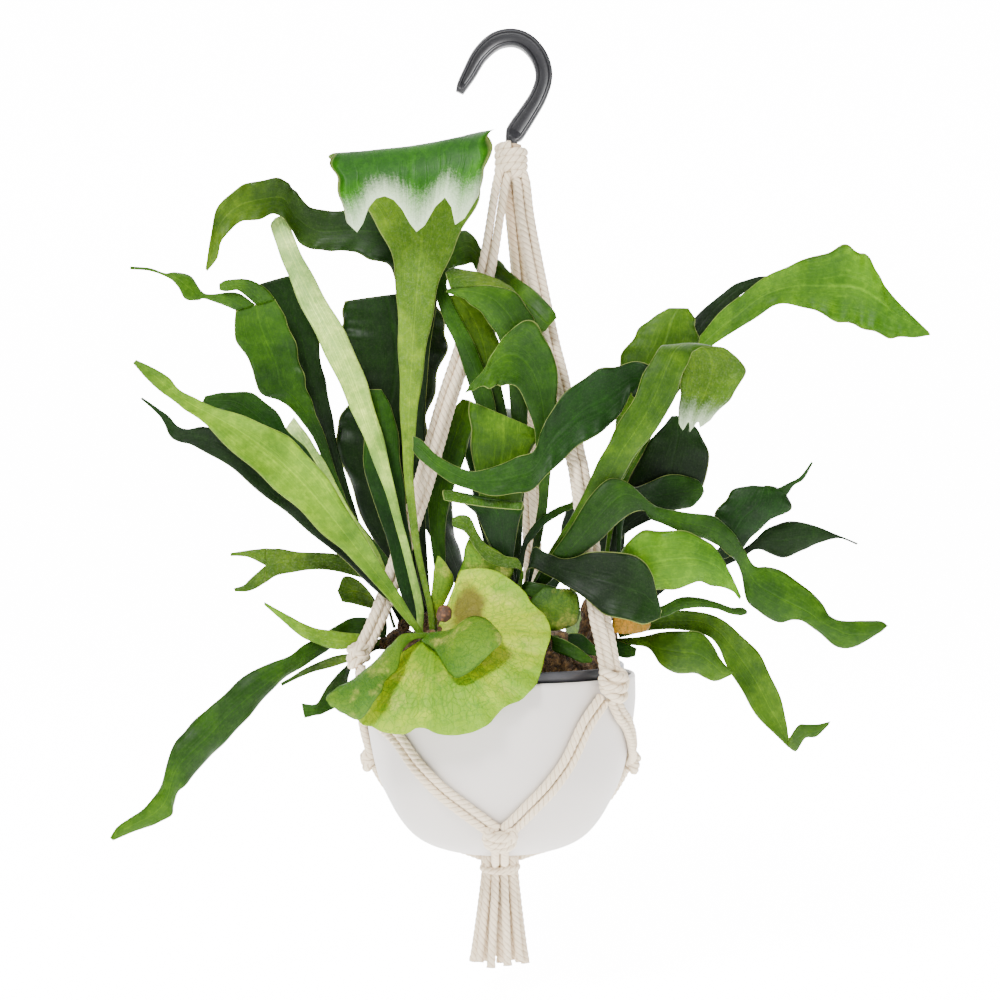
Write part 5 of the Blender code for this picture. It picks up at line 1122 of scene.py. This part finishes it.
# Shield finishes: flesh, deeper parts, dead patch, cells of the net in a metre, rays over the width
SHIELDS = {
    "shield": ((186, 198, 74), (146, 174, 34), (118, 100, 92), 250.0, 90.0),
    "young": ((158, 178, 66), (124, 150, 40), (110, 90, 48), 380.0, 24.0),
    "frill": ((122, 148, 58), (96, 130, 36), (120, 104, 54), 330.0, 26.0),
    "dull": ((104, 128, 40), (76, 104, 24), (120, 104, 54), 330.0, 24.0),
    "old": ((200, 150, 62), (156, 126, 44), (150, 84, 40), 240.0, 20.0),
}
# Powers that deepen the leaves' and the shields' red, green and blue
LEAF_DEPTH, SHIELD_DEPTH = (1.78, 1.72, 2.45), (1.50, 1.46, 2.50)


def make_finishes(tones):
    """Every material, by its name in the tables."""
    leaf = surface("Leaf surface", leaf_surface, ("Upper", "Under", "Tip"), ("Veins",))
    shield = surface("Shield surface", shield_surface, ("Flesh", "Deep", "Aged"), ("Net size", "Rays"))
    cotton = surface("Cotton", cotton_surface, ("Yarn",))
    glaze = surface("Glaze", ceramic_surface, ("Glaze",))
    plastic = surface("Moulded plastic", plastic_surface, ("Plastic",))
    earth = surface("Bark and fibre", earth_surface, ("Dark", "Light"))
    scales = surface("Bud scales", bud_surface, ("Dark", "Light"))
    for name, (*colours, veins) in LEAVES.items():
        tints = (shade(colour, LEAF_DEPTH) for colour in colours)
        inputs = dict(zip(("Upper", "Under", "Tip"), tints)) | {"Veins": veins}
        finish(name, "Leaf " + name, leaf, inputs, 0.0004, 0.5, 0.11)
    for name, (*colours, size, rays) in SHIELDS.items():
        tints = (shade(colour, SHIELD_DEPTH) for colour in colours)
        inputs = dict(zip(("Flesh", "Deep", "Aged"), tints)) | {"Net size": size, "Rays": rays}
        finish(name, "Shield " + name, shield, inputs, 0.0005, 0.5, 0.20)
    finish("cotton", "Cotton cord", cotton, {"Yarn": (*tones.yarn, 1)}, 0.0004, 0.8)
    finish("ceramic", "Matt glaze", glaze, {"Glaze": (*tones.glaze, 1)}, 0.0001, 0.15)
    finish("hook", "Hook plastic", plastic, {"Plastic": (*tones.plastic, 1)}, 0.0001, 0.3)
    finish("nursery", "Nursery pot plastic", plastic, {"Plastic": shade((48, 48, 52))}, 0.0001, 0.3)
    for key, name, tree, dark, light, bump, strength in (
            ("soil", "Potting mix", earth, (26, 20, 14), (92, 70, 48), 0.002, 0.9),
            ("rhizome", "Rootstock", earth, (48, 34, 20), (132, 100, 58), 0.002, 0.9),
            ("bud", "Brown bud", scales, (62, 36, 16), (122, 78, 40), 0.0006, 0.8)):
        finish(key, name, tree, {"Dark": shade(dark), "Light": shade(light)}, bump, strength)


def dress(piece, finish_name, *nodes):
    """Give a piece its material and its body, and hide the nodes it stands for."""
    piece.data.materials.clear()
    piece.data.materials.append(FINISHES[finish_name])
    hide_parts(*nodes)
    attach(piece, "root")


# ------------ Settings ------------
class FernLeaves(bpy.types.PropertyGroup):
    blade: FloatProperty(name="Blade", description="Thickness of a frond's blade at its middle",
                         default=0.9 * MM, min=0.4 * MM, max=2 * MM, unit="LENGTH", precision=4)
    columns: IntProperty(name="Columns", description="Faces across a blade", default=16, min=4, max=32)


class FernHanger(bpy.types.PropertyGroup):
    cord: FloatProperty(name="Cord", description="Radius of one cord of the hanger", default=2.85 * MM,
                        min=1 * MM, max=5 * MM, unit="LENGTH", precision=4)
    lay: FloatProperty(name="Lay", description="Length in which a cord's strands turn once", default=12 * MM,
                       min=6 * MM, max=40 * MM, unit="LENGTH", precision=4)


class FernTones(bpy.types.PropertyGroup):
    yarn: FloatVectorProperty(name="Yarn", description="Colour of the cotton cord", subtype="COLOR",
                              default=shade((245, 230, 203))[:3], min=0, max=1)
    glaze: FloatVectorProperty(name="Glaze", description="Colour of the pot", subtype="COLOR",
                               default=shade((198, 192, 186))[:3], min=0, max=1)
    plastic: FloatVectorProperty(name="Plastic", description="Colour of the hook", subtype="COLOR",
                                 default=shade((22, 22, 25))[:3], min=0, max=1)


# ------------ Operators ------------
class FERN_OT_camera(bpy.types.Operator):
    """Camera level with the middle of the plant"""
    bl_idname = "fern.camera"
    bl_label = "Camera"

    def execute(self, context):
        lens = bpy.data.cameras.new("Camera")
        lens.lens, lens.sensor_width = LENS
        camera = place_object("Camera", lens)
        camera.location = EYE
        camera.rotation_euler = (math.pi / 2, 0, 0)
        context.scene.camera = camera
        return {"FINISHED"}


class FERN_OT_finishes(bpy.types.Operator):
    """Materials of the leaves, shields, cords, pot, soil and hook"""
    bl_idname = "fern.finishes"
    bl_label = "Finishes"

    def execute(self, context):
        make_finishes(context.scene.fern_tones)
        return {"FINISHED"}


class FERN_OT_tassel(bpy.types.Operator):
    """Gathering knot under the pot and the loose cord ends of the tassel"""
    bl_idname = "fern.tassel"
    bl_label = "Tassel"

    def execute(self, context):
        hanger = context.scene.fern_hanger
        radius, lay = hanger.cord / MM, hanger.lay / MM
        out, height = np.array(GATHER).T
        pieces = []
        for k in range(GATHERED):
            path = about(out, 2 * math.pi * (k + 0.5) / GATHERED, height)
            pieces.append(cord(f"gather_{k}", path, radius * 0.92, level, lay, k)[0])
        ring = np.linspace(0, 2 * math.pi * 1.15, 30)
        path = about(10.6, ring, -122.4 - 1.6 * ring / ring[-1])
        pieces.append(cord("gather_wrap", path, radius * 0.86, level, lay)[0])
        dress(join(pieces, "gathering_knot"), "cotton", "tassel")
        run = np.linspace(0, 1, 16)
        for k in range(OUTER_ENDS + INNER_ENDS):
            if k >= OUTER_ENDS:
                a, top, spread = (k - OUTER_ENDS) / INNER_ENDS, 4.6, 9.0
            else:
                a, top, spread = (k + 0.5) / OUTER_ENDS, 9.2, 16.8 + 0.8 * math.sin(5.1 * k)
            low = TASSEL_LOW + 1.5 * math.sin(2.3 * k)
            path = about(top + (spread - top) * run ** 1.15, 2 * math.pi * a + 0.05 * math.sin(3 * k) * run,
                         TASSEL_TOP + (low - TASSEL_TOP) * run)
            piece, middle = cord(f"tassel_cord_{k + 1}", path, radius * 0.93, lambda line: level(line) + 1e-3,
                                 lay, 1.7 * k, fray=0.16)
            dress(piece, "cotton", "tassel")
            route = np.vstack([middle[:-3:max(1, len(middle) // 20)], middle[-1:]])
            route = [tuple(p) for p in ((route + RIM) * MM).tolist()]
        return {"FINISHED"}


# A square knot in its own box (across, outwards, up): two crossing bars and one under them
KNOT_BARS = [
    [(-0.5, 0.9, 0.9), (-1.0, 0.1, 0.95), (-0.7, -0.8, 0.62), (0, -1.05, 0.52), (0.7, -0.85, 0.5),
     (1.12, -0.1, 0.25), (0.95, 0.55, -0.15), (0.4, 0.9, -0.2)],
    [(0.5, 0.9, 0.75), (1.05, 0.1, 0.9), (0.95, -0.7, 0.35), (0.5, -1.02, -0.12), (0, -1.1, -0.28),
     (-0.7, -0.85, -0.2), (-1.12, -0.1, 0.05), (-0.95, 0.55, 0.4), (-0.4, 0.9, 0.4)],
    [(-0.4, 0.9, 0.0), (-1.0, 0.2, -0.3), (-0.75, -0.75, -0.75), (0, -0.95, -0.95), (0.75, -0.75, -0.75),
     (1.0, 0.2, -0.3), (0.4, 0.9, 0.0)],
]


def knot(name, centre, turn, tilt, size, radius, lay):
    """A square knot on a packed core, turned to face off the pot."""
    spin = np.array(Matrix.Rotation(math.radians(turn), 3, "Z") @ Matrix.Rotation(math.radians(tilt), 3, "X"))
    centre, size = np.array(centre), np.array(size)
    box = (size - radius * np.array((0.75, 0.85, 0.75))).clip(1.5)
    pieces = []
    for k, bar in enumerate(KNOT_BARS):
        path = (np.array(bar) * box) @ spin.T + centre
        pieces.append(cord(f"{name}_bar_{k}", path, radius, lambda line: line - centre + 1e-3, lay, k)[0])
    core = ball(name + "_core", lambda points: (points * size * 0.74) @ spin.T + centre)
    # A fixed groove value gives the core a touch of the painted groove shade
    mark(core.data, "groove", np.full(len(core.data.vertices), 0.4))
    return pieces + [core]


class FERN_OT_hanger(bpy.types.Operator):
    """Legs, nets, knots and the wrapping of the cord hanger"""
    bl_idname = "fern.hanger"
    bl_label = "Hanger"

    def execute(self, context):
        hanger = context.scene.fern_hanger
        radius, lay = hanger.cord / MM, hanger.lay / MM
        for name, (path, centre, turn, size) in LEGS.items():
            aim = about(1, math.radians(turn), 0)

            def facing(line):
                down = np.clip((line[:, 2:] - WRAP_LOW) / (centre[2] - WRAP_LOW), 0, 1)
                return np.array((0.1, -1, 0)) * (1 - down) + aim * down
            # The tops run on into the wrapping, which holds them together
            x, y, z = path[0]
            path = [(WRAP_X + 0.20 * (x - WRAP_X), 0.20 * y, z + 6)] + path
            pieces = []
            for k, (x, y) in enumerate(((-1, -1), (1, -1), (1, 1), (-1, 1))):
                pieces.append(cord(f"{name}_{k}", path, radius, facing, lay, 1.9 * k,
                                   (x * radius * 0.98, y * radius * 0.9))[0])
            pieces += knot(name + "_knot", centre, turn, 0, size, radius, lay)
            dress(join(pieces, name + "_cords"), "cotton", name)
        for name, (azimuth, low, tilt, size, sides) in NETS.items():
            centre = on_pot(azimuth, low, KNOT_STAND)
            pieces = knot(name + "_knot", centre, azimuth, tilt, size, radius * 0.95, lay)
            last = azimuth + (0 if azimuth == 0 else math.copysign(BACKWARD, azimuth))
            count = max(3, int((low - WALL_LOW) / 8) + 1)
            run = on_pot(np.linspace(azimuth, last, count), np.linspace(low - 2, WALL_LOW, count), STAND)
            out, height = np.array(UNDER_POT).T
            under = about(out, math.radians(last), height)
            paths = [on_pot(*curve(side, 4 * len(side)).T, STAND) for side in sides]
            for j, path in enumerate(paths + [np.vstack([run, under])]):
                for k in (-1, 1):
                    pieces.append(cord(f"{name}_{j}_{k}", path, radius * 0.94, off_pot, lay, j + 2.1 * k,
                                       (k * radius * 0.97, 0))[0])
            dress(join(pieces, name + "_cords"), "cotton", name)
        axis = np.array((WRAP_X, 0, 0))
        turn = np.linspace(0, 2 * math.pi * 4, 200)
        path = about(7.8, turn, 312.3 + 5.95 * turn / (2 * math.pi) * 0.75) + axis
        wrap = cord("wrapping", path, radius * 1.06, lambda line: line - axis, lay)[0]
        core = turned("wrap_core", WRAP_CORE, 40)
        write_points(core.data, read_points(core.data) + axis * MM)
        dress(join([wrap, core], "wrapping"), "cotton", "wrap")
        return {"FINISHED"}


class FERN_OT_hook(bpy.types.Operator):
    """Moulded plastic hook with a web between two flanges"""
    bl_idname = "fern.hook"
    bl_label = "Hook"

    def execute(self, context):
        count = 240
        line = curve(HOOK_LINE, count)
        slope = unit(np.gradient(line[:, :2], axis=0))
        across = np.stack([-slope[:, 1], slope[:, 0]], axis=-1)
        # Half width and half depth of the bar, its flanges' width and rounding, and the hollow
        # between them, which fades out towards both ends
        w, d = line[:, 2] / 2, line[:, 3] / 2
        lip = np.where(w > 3, 2.0, 1.2)
        r = np.minimum(0.8, w * 0.3)
        at = np.linspace(0, 30, count)
        deep = 2.2 * np.clip(np.minimum((at - 5) / 2, (29 - at) / 1.5), 0, 1) + 0.02
        slant = -d + deep * 0.75 + 0.2
        # One side of the section as (distance from the line's left, depth), mirrored for the other
        left = [(0 * w, -d + r), (0.3 * r, -d + 0.3 * r), (r, -d), (lip - 0.35, -d), (lip, -d + 0.35),
                (lip + 0.35, slant), (lip + 1.1, -d + deep)]
        half = [(-w, d * 0)] + [(x - w, y) for x, y in left] + [(w * 0, -d + deep)]
        half += [(w - x, y) for x, y in left[::-1]]
        section = half + [(-x, -y) for x, y in half]
        x, y = (np.stack(values, axis=-1) for values in zip(*section))
        rings = np.stack([line[:, :1] + across[:, :1] * x, y, line[:, 1:2] + across[:, 1:] * x], axis=-1)
        dress(body("hook_bar", rings, np.zeros((*x.shape, 2)), {}), "hook", "hook")
        return {"FINISHED"}


class FERN_OT_pots(bpy.types.Operator):
    """Ceramic bowl, the nursery pot in it and the potting mix"""
    bl_idname = "fern.pots"
    bl_label = "Pots"

    def execute(self, context):
        wall = finer(POT_OUT[::-1], 1.5)
        inner = wall.copy()
        inner[:, 0] -= POT_WALL
        inner[:, 1] += np.where(inner[:, 1] > -70, 0, 2.4)
        profile = [(0, POT_BASE), (14, POT_BASE)] + [tuple(p) for p in wall] + POT_LIP
        profile += [tuple(p) for p in inner[::-1] if p[0] > 26] + [(0, POT_BASE + 3.4)]
        dress(turned("bowl", profile, 256), "ceramic", "pot")
        dress(turned("inner_pot", NURSERY_POT, 200), "nursery", "nursery_pot")

        def lumps(points):
            """Soil surface: height plus three sines of different lengths, only on the top."""
            x, y, z = np.moveaxis(points, -1, 0)
            wave = np.sin(x * 0.31 + 1) * np.cos(y * 0.27) + 0.6 * np.sin(x * 0.83) * np.sin(y * 0.71 + 2)
            wave = wave + 0.5 * np.sin(x * 1.7 + y * 1.3)
            points[..., 2] += np.where(z > -6, wave * 0.9 - 1.0, 0)
            return points
        soil = [(0, -100), (35.5, -100), (38, -98.5), (73.4, -6)] + [(r, -3) for r in np.linspace(73, 0, 60)]
        dress(turned("potting_mix", soil, 200, lumps), "soil", "soil")
        return {"FINISHED"}


class FERN_OT_rootstock(bpy.types.Operator):
    """Furry brown rootstock that the fronds start on"""
    bl_idname = "fern.rootstock"
    bl_label = "Rootstock"

    def execute(self, context):
        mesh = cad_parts["rhizome"].data.copy()
        mesh.materials.clear()
        piece = place_object("rootstock", mesh)
        mend(mesh, 0.05 * MM)
        remesh = piece.modifiers.new("Remesh", "REMESH")
        remesh.mode, remesh.voxel_size = "VOXEL", 1.5 * MM
        piece.modifiers.new("Smooth", "SMOOTH").iterations = 6
        graph = context.evaluated_depsgraph_get()
        mesh = piece.data = bpy.data.meshes.new_from_object(piece.evaluated_get(graph))
        piece.modifiers.clear()
        points = read_points(mesh) / MM
        normals = np.empty(points.size)
        mesh.vertex_normals.foreach_get("vector", normals)
        x, y, z = points.T
        lump = np.sin(x * 0.55) * np.sin(y * 0.6 + 1) * np.sin(z * 0.6)
        lump = lump + 0.5 * np.sin(x * 1.3 + y) * np.sin(z * 1.4 + y * 0.8)
        write_points(mesh, (points + normals.reshape(-1, 3) * (lump * 0.5 - 0.45)[:, None]) * MM)
        mesh.shade_smooth()
        dress(piece, "rhizome", "rhizome")
        return {"FINISHED"}


class FERN_OT_fronds(bpy.types.Operator):
    """Fertile fronds: antler blades, each with its upper and felted under face"""
    bl_idname = "fern.fronds"
    bl_label = "Fronds"

    def execute(self, context):
        leaves = context.scene.fern_leaves
        for name, (rows, crown, cup, wave, finish_name, *faces) in FRONDS.items():
            piece = leaf_piece(name + "_blade", on_crown(rows, crown), cup, wave, leaves, *faces,
                               notches=NOTCHES.get(name))[0]
            dress(piece, finish_name, name)
        for name, (rows, crown, cup, finish_name, lobes) in FORKED.items():
            stalk, sheet = leaf_piece(name + "_blade", on_crown(rows, crown), cup, 0.5, leaves, grow=(0, 0.6))
            pieces = [stalk]
            for k, (lobe, low, high) in enumerate(lobes):
                start = shares(sheet, low, high)
                part = leaf_piece(f"{name}_lobe_{k}", lobe, 0.06, 0.2, leaves, start=start, grow=(0.6, 1))[0]
                pieces.append(part)
            dress(join(pieces, name + "_blade"), finish_name, name)
        stalk, sheet = leaf_piece("bright_frond_blade", on_crown(BRIGHT_CURL, "B"), 0.10, 0.3, leaves)
        crease = sheet[int(len(sheet) * 0.62):, -1]
        far = curve(BRIGHT_BACK_EDGE[::-1], len(crease))
        far[0], far[-1] = crease[0], crease[-1]
        v = np.linspace(0, 1, 13)
        fold = crease[1:-1, None] + (far[1:-1] - crease[1:-1])[:, None] * v[None, :, None]
        back = thick_blade("bright_frond_fold", fold, np.linspace(0, 1, len(fold)), v, leaves.blade / MM, -1)
        dress(join([stalk, back], "bright_frond_blade"), "green", "bright_frond")
        return {"FINISHED"}


def bud(name, centre, radii):
    """A smooth egg with slight ridges, radii in mm."""
    def ridged(points):
        ridge = 1 + 0.03 * np.sin(5 * np.arctan2(points[:, 1], points[:, 0]) + 6 * points[:, 2])
        return points * ridge[:, None] * np.array(radii) + np.array(centre)
    return ball(name, ridged)


class FERN_OT_plantlets(bpy.types.Operator):
    """Small fronds that start together from buds on the rootstock"""
    bl_idname = "fern.plantlets"
    bl_label = "Plantlets"

    def execute(self, context):
        leaves = context.scene.fern_leaves
        for name, (crown, way, radius, blades) in BUDS.items():
            *centre, r = CROWNS[crown]
            centre = np.array(centre) + unit(np.array(way)) * (r * 0.96 + radius * 0.85 + 0.3)
            for k, (rows, cup, finish_name) in enumerate(blades):
                piece = leaf_piece(f"{name}_{k}", foot(rows, centre, radius * 0.45), cup, 0.3, leaves)[0]
                if finish_name in SHIELDS:
                    mark(piece.data, "aged", np.zeros(len(piece.data.vertices)))
                dress(piece, finish_name, name)
            dress(bud(name + "_bud", centre, (radius * 0.95,) * 3), "rhizome", name)
        dress(bud("brown_bud", (-33.5, -46, 38.5), (5, 5, 6)), "bud", "frill_shield")
        return {"FINISHED"}


class FERN_OT_shields(bpy.types.Operator):
    """Lime shield fronds at the pot's rim"""
    bl_idname = "fern.shields"
    bl_label = "Shields"

    def execute(self, context):
        leaves = context.scene.fern_leaves
        piece = thick_blade("front_shield_blade", *shield_sheet(SHIELD_HEART, SHIELD_BORDER), SHIELD_THICK, 1,
                            margin=lambda share: share)
        off = (read_points(piece.data) / MM - RIM - np.array(PATCH)) / np.array(PATCH_SIZE)
        mark(piece.data, "aged", np.exp(-(off ** 2).sum(1)))
        dress(piece, "shield", "front_shield")
        for name, (rows, crown, cup, wave, finish_name) in SHIELD_FRONDS.items():
            piece = leaf_piece(name + "_blade", on_crown(rows, crown), cup, wave, leaves)[0]
            mark(piece.data, "aged", np.zeros(len(piece.data.vertices)))
            dress(piece, finish_name, name)
        return {"FINISHED"}


class FERN_OT_stage(bpy.types.Operator):
    """Pale floor that rises into a backdrop, and soft studio light"""
    bl_idname = "fern.stage"
    bl_label = "Stage"

    def execute(self, context):
        bend = np.linspace(0, math.pi / 2, 16)
        rise = np.stack([1.6 + 0.9 * np.sin(bend), FLOOR + 0.9 - 0.9 * np.cos(bend)], axis=-1)
        profile = np.concatenate([[(-3.0, FLOOR)], rise, [(2.5, 3.2)]])
        x = np.linspace(-4, 4, 9)
        grid = np.stack(np.broadcast_arrays(x[None, :], profile[:, :1], profile[:, 1:]), axis=-1)
        index = np.arange(len(profile) * len(x)).reshape(len(profile), len(x))
        faces = np.stack([index[:-1, :-1], index[:-1, 1:], index[1:, 1:], index[1:, :-1]], axis=-1)
        mesh = bpy.data.meshes.new("backdrop")
        mesh.from_pydata(grid.reshape(-1, 3).tolist(), [], faces.reshape(-1, 4).tolist())
        mesh.shade_smooth()
        paper = bpy.data.materials.new("Backdrop paper")
        paper.use_nodes = True
        tree = paper.node_tree
        shader = tree.nodes["Principled BSDF"]
        shader.inputs["Base Color"].default_value = (0.94, 0.94, 0.94, 1)
        shader.inputs["Roughness"].default_value = 0.9
        shader.inputs["Emission Color"].default_value = (1, 1, 1, 1)
        # The camera sees the backdrop brighter than it lights the plant
        glow = times(tree, node(tree, "LightPath").outputs["Is Camera Ray"], 10.5, 3.0)
        tree.links.new(glow, shader.inputs["Emission Strength"])
        mesh.materials.append(paper)
        place_object("backdrop", mesh)
        world = bpy.data.worlds.new("Studio")
        context.scene.world = world
        world.use_nodes = True
        sky = world.node_tree.nodes["Background"]
        sky.inputs["Color"].default_value = (1, 1, 1, 1)
        sky.inputs["Strength"].default_value = 0.25
        for name, (spot, power, size) in LAMPS.items():
            light = bpy.data.lights.new(name, "AREA")
            light.energy, light.size = power, size
            lamp = place_object(name, light)
            lamp.location = spot
            lamp.rotation_euler = (Vector(AIM) - Vector(spot)).to_track_quat("-Z", "Y").to_euler()
        return {"FINISHED"}


class FERN_PT_panel(bpy.types.Panel):
    """Buttons for every group of pieces"""
    bl_idname = "FERN_PT_panel"
    bl_label = "Hanging staghorn fern"
    bl_space_type = "VIEW_3D"
    bl_region_type = "UI"
    bl_category = "Fern"

    def draw(self, context):
        for settings in (context.scene.fern_leaves, context.scene.fern_hanger, context.scene.fern_tones):
            box = self.layout.box()
            for key in settings.bl_rna.properties.keys():
                if key not in {"rna_type", "name"}:
                    box.prop(settings, key)
        for step in STEPS:
            self.layout.operator(step.bl_idname)


STEPS = (FERN_OT_camera, FERN_OT_finishes, FERN_OT_tassel, FERN_OT_hanger, FERN_OT_hook, FERN_OT_pots,
         FERN_OT_rootstock, FERN_OT_fronds, FERN_OT_plantlets, FERN_OT_shields, FERN_OT_stage)
CLASSES = (FernLeaves, FernHanger, FernTones, *STEPS, FERN_PT_panel)


def register():
    for cls in CLASSES:
        bpy.utils.register_class(cls)
    bpy.types.Scene.fern_leaves = bpy.props.PointerProperty(type=FernLeaves)
    bpy.types.Scene.fern_hanger = bpy.props.PointerProperty(type=FernHanger)
    bpy.types.Scene.fern_tones = bpy.props.PointerProperty(type=FernTones)


def unregister():
    del bpy.types.Scene.fern_leaves, bpy.types.Scene.fern_hanger, bpy.types.Scene.fern_tones
    for cls in reversed(CLASSES):
        bpy.utils.unregister_class(cls)


def main():
    register()
    for step in STEPS:
        group_name, call = step.bl_idname.split(".")
        getattr(getattr(bpy.ops, group_name), call)()


if __name__ == "__main__":
    main()
